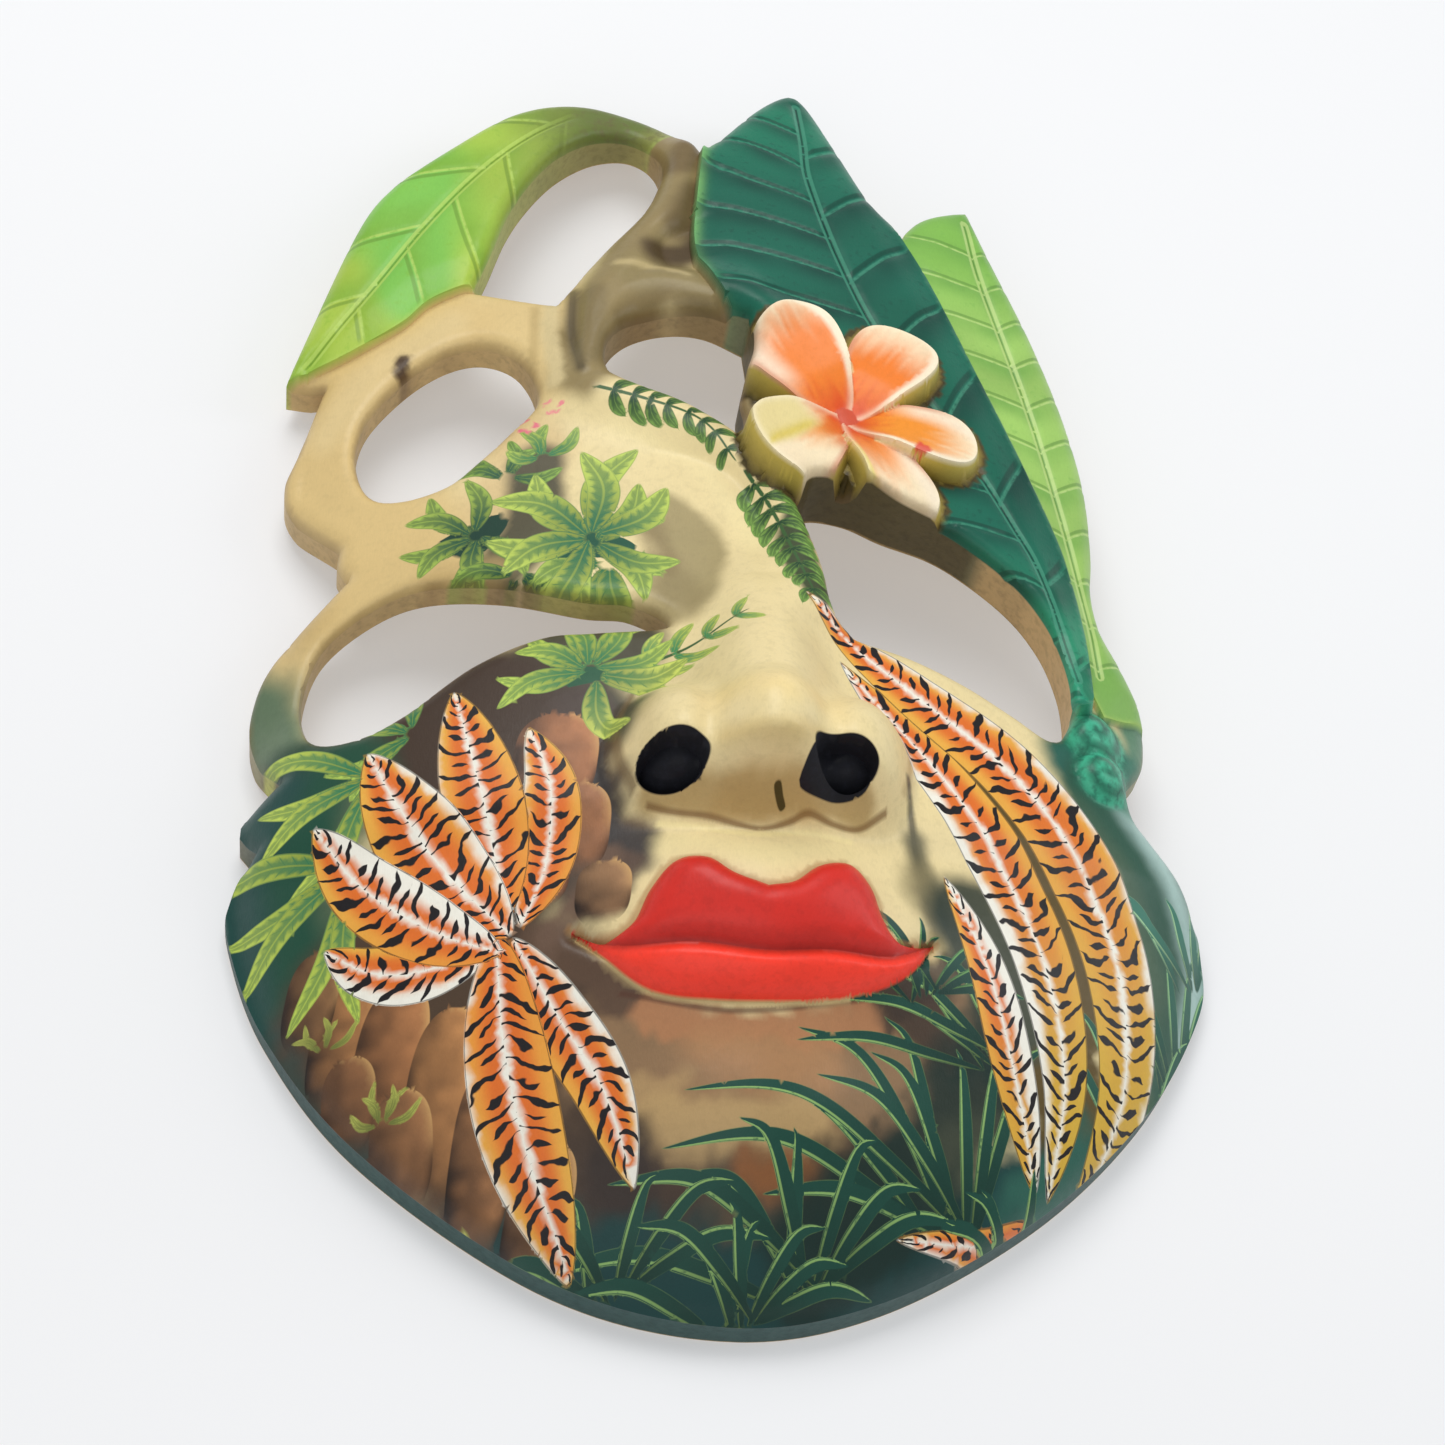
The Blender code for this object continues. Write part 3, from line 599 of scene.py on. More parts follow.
# The under-painting: soft strokes laid one over the other, as path, half width, softness, colour and
# strength. Some are painted shade in hollows, creases and under the nose, some are painted highlights on the
# nose tip, and one is a painted sheen on the right rim.
UNDER = [
    ([(-100, 100), (-118, 60), (-118, 30), (-100, 20)], 30, 20, TAN, 1.0),
    ([(-60, 100), (-75, 80)], 22, 14, TAN, 0.8),
    ([(-84, 106), (-104, 92), (-118, 70)], 5, 9, (228, 204, 150), 0.6),
    ([(-125, 5), (-130, -15)], 14, 14, SAND, 0.6),
    ([(-132, -22), (-126, -42), (-114, -50)], 13, 13, (70, 106, 84), 0.9),
    ([(-42, 84), (-39, 104), (-28, 128), (-18, 160), (-14, 184)], 13, 7, (150, 132, 90), 1.0),
    ([(-30, 122), (-14, 119), (4, 104)], 8, 6, (146, 130, 88), 0.95),
    ([(-35, 104), (-26, 112), (-12, 110), (0, 100)], 3, 5, (120, 102, 64), 0.7),
    ([(-36, 125), (-25, 125), (-15, 121)], 1.4, 2.2, (196, 176, 126), 0.8),
    # Painted shade in the carved hollow of the crown beside the vine.
    ([(-24, 133), (-15, 134), (-11, 142)], 5, 6, (74, 56, 36), 0.9),
    ([(-18, 146), (-13, 160)], 4, 7, (92, 74, 46), 0.7),
    ([(-36, 146), (-26, 166), (-24, 182)], 4, 6, (150, 130, 84), 0.7),
    # Dark line down the carved groove of the crown: painted shade in it.
    ([(-49, 117), (-49, 100), (-46.5, 82)], 1.25, 3.2, (62, 54, 40), 0.9),
    ([(-43, 112), (-43, 88)], 3.4, 5, (130, 114, 78), 0.8),
    ([(-55, 112), (-55, 96), (-53, 80)], 2.4, 3, (216, 196, 146), 0.9),
    ([(-60, 110), (-60, 84)], 1.0, 2.5, (186, 160, 106), 0.7),
    ([(-18, 172), (-12, 184)], 5, 6, (104, 84, 54), 0.7),
    ([(0, 70), (6, 104)], 7, 6, OLIVE, 0.9),
    ([(-34, 70), (-20, 64), (-6, 54), (4, 40), (10, 24), (14, 8)], 9, 6, CREAM, 1.0),
    ([(-36, 62), (-18, 54), (-6, 40), (2, 20)], 3, 8, (244, 226, 170), 0.7),
    ([(-66, 36), (-60, 56)], 12, 10, (216, 186, 132), 0.7),
    # The next three: the eye socket's hollow darker, painted shade under the brow.
    ([(-22, 30), (-14, 18), (-16, 4)], 8.5, 4.5, (164, 148, 104), 0.95),
    ([(-24, 8), (-18, -2)], 7, 7, (150, 134, 92), 0.8),
    ([(-27, 26), (-22, 12)], 4, 5, (134, 116, 80), 0.6),
    ([(-58, 50), (-59, 26), (-68, 10)], 8, 5, (44, 50, 40), 0.9),
    ([(-84, 14), (-68, 12)], 5, 7, SAND, 0.6),
    ([(21, 40), (13, 20), (19, 0)], 5, 3, (30, 58, 32), 0.95),
    ([(4, 56), (13, 40)], 4, 4, (44, 72, 38), 0.85),
    ([(-36, -16), (-52, -26), (-42, -44)], 14, 8, (52, 52, 40), 0.95),
    ([(-120, -46), (-96, -42), (-74, -36)], 10, 8, (34, 66, 48), 0.95),
    ([(-72, -40), (-66, -70), (-78, -100)], 26, 12, (66, 50, 38), 1.0),
    # The next four: painted shade beside the nose's left wing and down to the lip's left end.
    ([(-44, -40), (-47, -56), (-42, -76), (-40, -92)], 9, 5, (74, 60, 52), 0.95),
    ([(-38, -66), (-36, -80), (-30, -86)], 5, 6, (58, 52, 50), 0.9),
    ([(-30, -79), (-33, -87), (-40, -98)], 5, 5, (92, 72, 60), 0.9),
    ([(-42, -56), (-41, -68), (-37, -78), (-27, -82)], 4, 3.5, (60, 56, 54), 0.9),
    ([(-26, -24), (-32, -37), (-35.5, -50), (-34.5, -62), (-31, -69)], 0.7, 1.6, (112, 92, 60), 0.85),
    ([(-28, -48), (-29, -62)], 2.5, 6, (206, 184, 130), 0.5),
    # Painted shade on the nose's underside, between the nostrils.
    ([(-26, -71), (-13, -73), (0, -75), (14, -73), (28, -72)], 3.6, 3.4, (184, 156, 100), 0.9),
    # Thin dark line in the crease where the nose meets the lip: painted shade.
    ([(-27, -73), (-22, -74.5), (-13, -76.3), (-4, -78.5), (2, -79.3), (9, -77.5), (14, -75.5), (21, -76),
      (28, -75.5), (35, -71)], 0.5, 1.0, (132, 100, 56), 0.95),
    ([(-24, -77), (-13, -79), (-4, -81), (4, -81), (14, -79), (26, -79)], 0.7, 1.4, (244, 226, 164), 0.9),
    ([(-22, -84), (0, -88), (24, -84)], 4, 6, (232, 214, 158), 0.8),
    # Painted highlight on the upper part of the nose tip.
    ([(-10, -50), (3, -53), (15, -50)], 5, 9, (240, 214, 150), 0.7),
    # Painted shade on the lower part of the nose tip.
    ([(-9, -64), (3, -67), (14, -64)], 2.5, 6, (208, 180, 118), 0.7),
    ([(42, -26), (43.5, -40), (42, -58), (40, -65)], 0.6, 2.0, (168, 146, 98), 0.7),
    # The next three: the groove beside the nose's right wing darker, painted shade in it.
    ([(41.5, -60), (43, -68), (44, -76), (46, -84)], 0.9, 1.8, (62, 60, 52), 0.95),
    ([(44, -74), (46, -84), (50, -95)], 3.4, 4.4, (96, 92, 68), 0.9),
    ([(45, -86), (53, -96)], 6, 7, (140, 128, 90), 0.7),
    ([(-130, -66), (-134, -90), (-122, -120), (-104, -144)], 24, 10, (26, 70, 64), 1.0),
    ([(-104, -52), (-112, -76), (-110, -104)], 12, 10, (28, 76, 56), 0.9),
    ([(-94, -118), (-70, -140), (-50, -162), (-30, -178)], 24, 12, (78, 60, 44), 1.0),
    ([(-50, -116), (-34, -128), (-30, -150)], 13, 9, (80, 62, 48), 1.0),
    ([(-30, -136), (0, -144), (30, -140), (56, -126)], 16, 12, (142, 112, 80), 1.0),
    ([(-54, -106), (-43, -114), (-30, -123.5)], 5, 4, (92, 70, 54), 0.95),
    ([(30, -125), (42, -117.5), (54, -108.5)], 5, 4, (84, 68, 52), 0.95),
    ([(-24, -126.5), (-8, -129.5), (14, -129), (30, -124.5)], 4.8, 3.6, (176, 124, 84), 0.95),
    ([(-10, -136), (6, -139), (20, -136)], 6, 9, (172, 128, 86), 0.85),
    # Thin dark line in the crease under the lower lip: painted shade.
    ([(-32, -121), (-11, -125.6), (2, -125.9), (18, -123.2), (33, -119)], 0.5, 1.2, (86, 52, 36), 0.85),
    ([(-52, -106), (-46, -100), (-41, -93), (-37, -85)], 3.4, 4, (108, 84, 68), 0.9),
    ([(-40, -160), (0, -169), (40, -160)], 12, 8, (70, 54, 42), 0.95),
    ([(-24, -150), (-8, -154), (16, -152)], 7, 7, (186, 154, 104), 0.9),
    ([(-30, -146), (-18, -144)], 3, 5, (172, 140, 96), 0.7),
    ([(4, -165), (16, -164)], 4.5, 6, (146, 92, 50), 0.85),
    ([(-30, -160), (-26, -178)], 9, 8, (48, 38, 34), 0.8),
    ([(58, -92), (68, -108), (72, -128)], 11, 7, (34, 50, 40), 0.95),
    ([(40, -116), (54, -126)], 8, 7, (58, 46, 38), 0.9),
    ([(58, -50), (74, -72), (86, -98), (88, -124), (86, -156)], 10, 4, (92, 74, 32), 1.0),
    ([(-50, -188), (0, -194), (44, -187), (84, -164)], 20, 9, (20, 62, 60), 1.0),
    ([(20, -178), (48, -154), (62, -136)], 13, 9, (20, 44, 38), 0.95),
    ([(98, -34), (116, -52), (130, -78), (134, -100), (114, -134), (86, -164)], 15, 8, (44, 96, 82), 1.0),
    ([(100, -44), (116, -70), (119, -104), (106, -140)], 12, 5, (42, 84, 66), 0.95),
    # Pale blue-green along the right rim: a painted sheen.
    ([(108, -46), (122, -64), (130, -84), (127, -104)], 4, 8, (178, 206, 198), 0.85),
    ([(113, -10), (117, -26), (110, -42)], 7, 5, (52, 120, 96), 0.9),
    ([(112, -128), (102, -144)], 5, 7, (110, 120, 92), 0.7),
    ([(-97.5, 89.5), (-97, 94)], 2.2, 1.8, (60, 38, 26), 0.95),
]

# Croton and calathea leaves with striped blades: path from foot to tip, half width and how pale the blade is
STRIPED = [
    dict(path=[(80, -156), (72, -128), (64, -104), (52, -82)], half=8.5, pale=0.6, turn=-1, gold=0.7),
    dict(path=[(84, -156), (87, -128), (81, -100), (69, -76), (55, -56), (39, -37), (25, -20)], half=12.5,
         pale=0.38, turn=1, gold=0.85),
    dict(path=[(93, -158), (105, -128), (104, -98), (93, -71), (73, -47), (46, -27), (15, -2)], half=15.5,
         pale=0.12, turn=-1, gold=0.85),
    dict(path=[(82, -160), (66, -169), (42, -172)], half=4.6, pale=0.2, turn=1),
    dict(path=[(-58, -102), (-52, -84), (-52, -62), (-58, -44)], half=10.5, pale=0.12, turn=1),
    dict(path=[(-60, -104), (-48, -124), (-36, -142), (-26, -166)], half=10.5, pale=0.30, turn=1),
    dict(path=[(-62, -100), (-66, -78), (-72, -54), (-78, -30)], half=14.0, pale=0.08, turn=1),
    dict(path=[(-62, -104), (-82, -110), (-96, -108), (-108, -100)], half=10.5, pale=0.45, turn=1),
    dict(path=[(-64, -102), (-61, -128), (-54, -154), (-40, -184)], half=14.5, pale=0.10, turn=-1),
    dict(path=[(-60, -104), (-76, -86), (-90, -66), (-100, -46)], half=15.5, pale=0.18, turn=-1),
    dict(path=[(-62, -108), (-80, -100), (-98, -86), (-113, -66)], half=13.0, pale=0.62, turn=-1),
]


def rock(u, v, height, half, lean, colour):
    return dict(path=[(u, v), (u + lean * 0.4, v + height * 0.5), (u + lean, v + height)], half=half,
                kind="rock", colour=colour, blunt=True)


# How far the warm colour reaches along each petal, and that colour
PETAL_WARM = [(1.00, (242, 122, 0)), (0.90, (242, 120, 0)), (0.90, (242, 142, 6)), (0.66, (242, 136, 48)),
              (0.60, (238, 142, 40))]

# Everything painted with a crisp edge, the undermost first
SHAPES = [
    rock(-104, -140, 32, 8, 5, (170, 129, 88)), rock(-92, -152, 40, 9, 6, (162, 119, 83)),
    rock(-78, -166, 46, 9, 5, (176, 134, 91)), rock(-112, -124, 24, 7, 4, (132, 104, 75)),
    rock(-66, -178, 44, 8, 4, (162, 122, 86)), rock(-98, -150, 22, 7, -2, (130, 97, 70)),
    rock(-84, -166, 28, 8, -2, (144, 109, 78)), rock(-52, -186, 32, 8, 6, (152, 117, 86)),
    rock(-52, -70, 30, 11, 3, (166, 120, 88)), rock(-47, -90, 28, 10, 2, (150, 110, 82)),
    rock(-55, -98, 24, 9, 0, (152, 107, 81)), rock(-38, -104, 18, 7, 1, (154, 126, 98)),
    *frond([(-42, 74), (-28, 69), (-12, 62), (-2, 49)], 8, 10.5, 2.6, splay=58, light=(132, 170, 84),
           dark=(20, 62, 44)),
    *frond([(0, 47), (7, 33), (13, 14), (19, -6)], 9, 12.0, 3.2, splay=56, light=(140, 182, 88),
           dark=(16, 56, 40)),
    dict(path=[(-80, 20), (-66, 32)], half=7.0, kind="plain", colour=(26, 62, 48), taper=0.4),
    *tuft((-74, 26), 100, 340, 9, 22, 4.2, light=(164, 190, 84), dark=(22, 80, 62)),
    *tuft((-62, 10), 180, 350, 5, 18, 3.4, light=(150, 182, 80), dark=(20, 72, 56)),
    *tuft((-66, 46), 10, 170, 5, 15, 3.0, light=(150, 184, 84), dark=(22, 80, 60)),
    *tuft((-38, 12), -165, -15, 4, 20, 5.6, light=(176, 200, 92), dark=(34, 108, 70)),
    dict(path=[(-53, 22), (-30, 17)], half=7.0, kind="plain", colour=(30, 84, 62), taper=0.4),
    *tuft((-42, 20), -170, 60, 7, 24, 5.4, light=(182, 204, 92), dark=(28, 104, 74)),
    *tuft((-42, 22), 42, 232, 8, 32, 6.3, light=(192, 212, 96), dark=(28, 108, 78)),
    *tuft((-56, 52), 50, 160, 4, 14, 2.8, light=(176, 200, 92)),
    *frond([(-30, -26), (-22, -22), (-12, -18), (-1, -13)], 4, 14.0, 2.8, light=(204, 216, 100),
           dark=(40, 134, 86)),
    dict(path=[(-48, -28), (-36, -27)], half=3.6, kind="plain", colour=(34, 88, 60), taper=0.4),
    *tuft((-42, -26), 25, 205, 9, 25, 3.9, light=(190, 212, 92), dark=(34, 118, 76)),
    *tuft((-41, -28), -70, 10, 3, 25, 5.2, light=(208, 220, 104), dark=(44, 116, 68)),
    *tuft((-88, -42), 110, 230, 5, 24, 3.8, light=(182, 208, 90), dark=(30, 108, 74)),
    *tuft((-98, -54), 160, 262, 5, 36, 4.2, bend=0.10, light=(198, 216, 92), dark=(28, 118, 84)),
    *tuft((-102, -78), 176, 276, 5, 42, 4.4, bend=0.08, light=(192, 212, 88), dark=(26, 112, 80)),
    *grass((60, -172), 76, 168, 11, 58, 2.5),
    *grass((20, -186), 40, 165, 8, 44, 2.6),
    *grass((-30, -188), 30, 150, 6, 30, 2.4),
    *grass((68, -128), 96, 176, 8, 34, 2.0),
    *grass((47, -116), 20, 150, 8, 24, 1.7, light=(112, 166, 96)),
    *grass((122, -118), 74, 128, 6, 38, 2.2, droop=0.3, light=(140, 184, 128), dark=(34, 88, 72)),
    *grass((110, -144), 60, 126, 6, 44, 2.2, droop=0.3, light=(140, 184, 124), dark=(30, 78, 64)),
    *grass((128, -90), 80, 140, 5, 30, 2.1, droop=0.3, light=(160, 200, 150), dark=(52, 110, 92)),
    *(dict(kind="stripe", taper="point", **s) for s in STRIPED),
    *(leaf for seedling in (((-90, -146), 30, 150, 6, 11, 1.3), ((-72, -178), 30, 150, 6, 10, 1.3),
                            ((-106, -126), 40, 150, 5, 10, 1.2))
      for leaf in tuft(*seedling, light=(196, 200, 96), dark=(104, 112, 54))),
    *grass((4, -193), 25, 155, 8, 30, 2.3),
    *grass((78, -178), 60, 150, 7, 30, 2.1),
    *tuft((-61, 65), 0, 288, 5, 3.6, 1.3, kind="plain", colour=(226, 118, 130)),
    *tuft((-54, 71), 20, 308, 5, 3.4, 1.2, kind="plain", colour=(238, 142, 146)),
]


def width_along(share, blunt=False, taper=None):
    """A leaf's half width along it, as a share."""
    s = np.clip(share, 0, 1)
    if blunt:
        return np.sqrt(np.clip(1 - (2 * np.abs(s - 0.5)) ** 3.2, 0, 1))
    if taper == "point":
        return np.clip(2.3 * s**0.8 * (1 - s) ** 0.88, 0, 1) ** 0.9
    if taper is not None:
        return np.clip(1 - s, 0, 1) ** taper
    return np.clip(2.15 * s**0.75 * (1 - s) ** 0.82, 0, 1) ** 0.95


def prepare(shape):
    chain = line(shape["path"], 0.45 if shape.get("blunt") else 0.9)
    way = np.gradient(chain, axis=0)
    way /= np.maximum(np.hypot(way[:, 0], way[:, 1]), 1e-9)[:, None]
    side = np.c_[-way[:, 1], way[:, 0]]
    length = along(chain)
    shape["chain"], shape["length"] = chain, length[-1]
    half = shape["half"] * width_along(length / length[-1], shape.get("blunt", False), shape.get("taper"))
    shape["rows"] = np.vstack([chain + side * (half + gap)[:, None] * way_out
                               for gap in ((-1.1, -0.14, 0.14) if shape.get("blunt") else (-0.14, 0.14))
                               for way_out in (-1, 1)])
    if shape["half"] > 1.2:
        shape["rows"] = np.vstack([shape["rows"], chain[::2]])
    reach = shape["half"] + 0.5
    shape["low"], shape["high"] = chain.min(0) - reach, chain.max(0) + reach
    return shape


def cover(shape, points):
    """Which points a shape covers: their length along it, share across it and distance to its rim."""
    near = np.where(np.all((points > shape["low"]) & (points < shape["high"]), axis=1))[0]
    if not len(near):
        return near, None, None, None
    away, place, side = nearest(points[near], shape["chain"])
    share = place / shape["length"]
    half = shape["half"] * width_along(share, shape.get("blunt", False), shape.get("taper"))
    on = (away < half) & (share > 0) & (share < 1)
    return near[on], place[on], (side * away / np.maximum(half, 1e-6))[on], (half - away)[on]


SHAPES = [prepare(shape) for shape in SHAPES]


# Mesh of the front
def rows_beside(chain, closed, offsets):
    ahead = np.roll(chain, -1, 0) if closed else np.vstack([chain[1:], 2 * chain[-1] - chain[-2]])
    behind = np.roll(chain, 1, 0) if closed else np.vstack([2 * chain[0] - chain[1], chain[:-1]])
    way = ahead - behind
    side = np.c_[-way[:, 1], way[:, 0]] / np.maximum(np.hypot(way[:, 0], way[:, 1]), 1e-9)[:, None]
    return [chain + side * offset for offset in offsets]


def grid_points(spacing, low, high):
    rows = []
    for j, y in enumerate(np.arange(low[1], high[1], spacing * 0.87)):
        xs = np.arange(low[0] + spacing * 0.5 * (j % 2), high[0], spacing)
        rows.append(np.c_[xs, np.full(len(xs), y)])
    return np.vstack(rows)


def within(points, margin=0.0):
    """Whether each point is on the mask, at least the margin from its outline and holes."""
    keep = signed_distance(points, OUTER_RING) > margin
    for ring in RINGS[1:]:
        keep &= signed_distance(points, ring) < -margin
    return keep


def on_mask(points, margin):
    return points[within(points, margin)]


def thinned(points, kept, clearance):
    """Drops points that are too close to a kept one."""
    tree = tree_of(kept)
    return np.array([p for p in points if tree.find((p[0], p[1], 0))[2] > clearance])


def spread(points, clearance):
    """Drops points that share a small cell with an earlier one."""
    cells = np.round(points / clearance).astype(np.int64)
    _, first = np.unique(cells, axis=0, return_index=True)
    return points[np.sort(first)]


def shown_rows():
    """The rows beside each painted shape, where no later shape hides them."""
    rows = np.vstack([s["rows"] for s in SHAPES])
    owner = np.concatenate([np.full(len(s["rows"]), i) for i, s in enumerate(SHAPES)])
    top = np.full(len(rows), -1)
    for i, shape in enumerate(SHAPES):
        top[cover(shape, rows)[0]] = i
    return rows[top <= owner]


def triangulate(points):
    """The plan's triangles through the outline, the holes' rims and the given points."""
    corners, edges = [], []
    for ring in RINGS:
        start = len(corners)
        corners += [Vector(p) for p in ring]
        edges += [(start + i, start + (i + 1) % len(ring)) for i in range(len(ring))]
    corners += [Vector(p) for p in points]
    found = delaunay_2d_cdt(corners, edges, [], 0, 1e-6)
    plan = np.array([p[:] for p in found[0]])
    faces = np.array(found[2])
    return plan, faces[within(plan[faces].mean(1))]


def front_points():
    carved = []
    for ring, chain in zip(LEAF_RINGS, MIDRIBS):
        carved += rows_beside(ring, True, (-0.5, 0.5))
        carved += rows_beside(chain, False, (-1.3, 0, 1.3))
    for ring in PETAL_RINGS:
        carved += rows_beside(ring, True, (-1.9, -1.1, -0.7, -0.1, 0.5, 1.4))
    carved += rows_beside(LIP_RING, True, (-2.6, -1.2, -0.16, 0.16, 1.0))
    carved += rows_beside(MOUTH, False, (-1.4, -0.16, 0.16, 1.4))
    for ring in (*NOSTRIL_RINGS, SLOT_RING):
        carved += rows_beside(ring, True, (-0.15, 0.15))
    for path, half, soft, _, _ in UNDER:
        if half < THIN:
            carved += rows_beside(line(path, 1.0), False, (-half - 0.5 * soft, -0.5 * half, 0.5 * half,
                                                           half + 0.5 * soft))
    turn = np.linspace(0, 2 * np.pi, 60, endpoint=False)
    circle = np.c_[np.cos(turn), np.sin(turn)]
    for centre in NOSTRILS:
        for share in (0.86, 0.95, 1.04, 1.10):
            carved.append(np.array(centre) + share * np.array(NOSTRIL_HALF) * circle)
    rims = [row for ring in RINGS for off in (0.7, 1.8, 3.2) for row in rows_beside(ring, True, (-off, off))]
    fine = spread(np.vstack(carved + [shown_rows()]), 0.22)
    fine = thinned(on_mask(fine, 0.4), EDGE_POINTS, 0.45)
    rims = spread(on_mask(np.vstack(rims), 0.5), 0.5)
    rims = thinned(rims, np.vstack([EDGE_POINTS, fine]), 0.6)
    held = np.vstack([EDGE_POINTS, fine, rims])
    grid = on_mask(grid_points(GRID, EDGE_POINTS.min(0), EDGE_POINTS.max(0)), 0.6)
    grid = thinned(grid, held, GRID * 0.62)
    return np.vstack([fine, rims, grid])


# Paint on the front, point by point
def over(shade, colour, share, gain=1.0):
    """A colour laid over a shade, by a share for each point."""
    share = share[:, None]
    return shade * (1 - share) + tone(colour) * share * gain


class Paint:
    """The colours and pattern values of every point of the front."""

    def __init__(self, place):
        self.place = place
        self.count = len(place.u)
        self.light = np.tile(tone(CREAM), (self.count, 1))
        self.dark = self.light * 0.82
        self.accent = self.light.copy()
        self.kinds, self.leaf, self.vein = (np.zeros((self.count, 3)) for _ in range(3))
        self.veined, self.matt = np.zeros(self.count), np.zeros(self.count)

    def lay(self, where, colour, strength=1.0, dark=None):
        """Puts a colour over what is there."""
        new = tone(colour) if np.ndim(colour) == 1 else colour
        under = new * 0.87 if dark is None else (tone(dark) if np.ndim(dark) == 1 else dark)
        s = np.broadcast_to(np.clip(strength, 0, 1), (len(where),))[:, None]
        self.light[where] = self.light[where] * (1 - s) + new * s
        self.dark[where] = self.dark[where] * (1 - s) + under * s

    def clear(self, at):
        """Takes the painted patterns away, for a plain colour."""
        self.kinds[at] = 0
        self.veined[at] = 0

    def under(self):
        """The soft strokes, each with an uneven edge."""
        p = self.place
        wander = [mottle(p.u, p.v, 7, k) + 0.5 * mottle(p.u, p.v, 2.6, k + 1) - 0.75 for k in (1, 3)]
        moved = p.points + np.stack(wander, 1) * (1.6 + 4.0 * smooth_step(-96, -124, p.v)[:, None])
        for path, half, soft, colour, strength in UNDER:
            chain = line(path, 3.0 if half > THIN else 1.0)
            low, high = chain.min(0) - half - soft, chain.max(0) + half + soft
            points = moved if half > THIN else p.points
            near = np.where(np.all((points > low) & (points < high), axis=1))[0]
            away = nearest(points[near], chain)[0]
            self.lay(near, colour, strength * (1 - smooth_step(half - soft * 0.5, half + soft * 0.5, away)))

    def shapes(self):
        for shape in SHAPES:
            at, s_mm, t, rim = cover(shape, self.place.points)
            if not len(at):
                continue
            share = s_mm / shape["length"]
            self.kinds[at] = 0
            self.leaf[at] = np.c_[s_mm, t, rim]
            kind = shape["kind"]
            if kind == "leaflet":
                tip = smooth_step(0.05, 0.95, share)[:, None]
                light, dark = tone(shape.get("light", LIME)), tone(shape.get("dark", EMERALD))
                self.lay(at, light * (0.45 + 0.55 * tip), 1.0, dark * (1 - 0.7 * tip) + light * 0.45 * tip)
                self.kinds[at, 0] = 1
            elif kind == "blade":
                tip = smooth_step(0.0, 0.7, share)[:, None]
                light, dark = tone(shape.get("light", BLADE_LIGHT)), tone(shape.get("dark", BLADE_DARK))
                self.lay(at, light * (0.25 + 0.75 * tip), 1.0, dark * (0.6 + 0.6 * tip))
                self.kinds[at, 1] = 1
            elif kind == "stripe":
                self.stripe(at, share, t, shape)
            elif kind == "rock":
                self.rock(at, share, t, rim, shape)
            else:
                self.lay(at, shape["colour"])

    def rock(self, at, share, t, rim, shape):
        """A rounded rock, lit from its upper left, with a pale crest and a dark foot."""
        blotch = mottle(self.place.u[at], self.place.v[at], 3, 8) - 0.5
        lit = np.clip(0.22 + 0.58 * share - 0.42 * t + 0.36 * blotch, 0, 1)[:, None]
        warm = tone(shape["colour"]) * (1.10, 0.92, 0.74)
        body = tone(BARK) * (1 - lit) + warm * lit * 1.15
        crest = np.exp(-(rim / 1.3) ** 2) * smooth_step(0.35, 0.8, share) * (t < 0.6)
        body = over(body, (222, 178, 112), 0.55 * crest)
        foot = np.exp(-(rim / 1.2) ** 2) * (1 - smooth_step(0.3, 0.6, share))
        self.lay(at, body * (1 - 0.7 * foot[:, None]), smooth_step(0.02, 0.30, share) + 0.15)

    def stripe(self, at, share, t, shape):
        """A croton blade: amber at its rims, orange inside, pale beside its midrib and at one margin."""
        pale, across = shape["pale"], np.abs(t)
        shade = np.tile(tone(ORANGE), (len(at), 1))
        shade = over(shade, AMBER, smooth_step(0.35, 0.9, across) * (0.4 + 0.6 * smooth_step(0, 1, share)))
        shade = over(shade, (206, 84, 30), 0.35 * smooth_step(0.0, 0.5, 0.5 - np.abs(across - 0.3)))
        shade = over(shade, (208, 176, 62), shape.get("gold", 0.0) * smooth_step(0.62, 0.12, share))
        ragged = 0.28 * (mottle(self.place.u[at], self.place.v[at], 3.2, 21) - 0.5)
        white = smooth_step(0.9 - 1.1 * pale, 1.15 - 0.9 * pale, shape["turn"] * t + ragged)
        white = np.maximum(white, 1 - smooth_step(0.05, 0.16, across + 0.5 * ragged))
        self.lay(at, over(shade, WHITE, white), 1.0, INK)
        self.kinds[at, 2] = 1

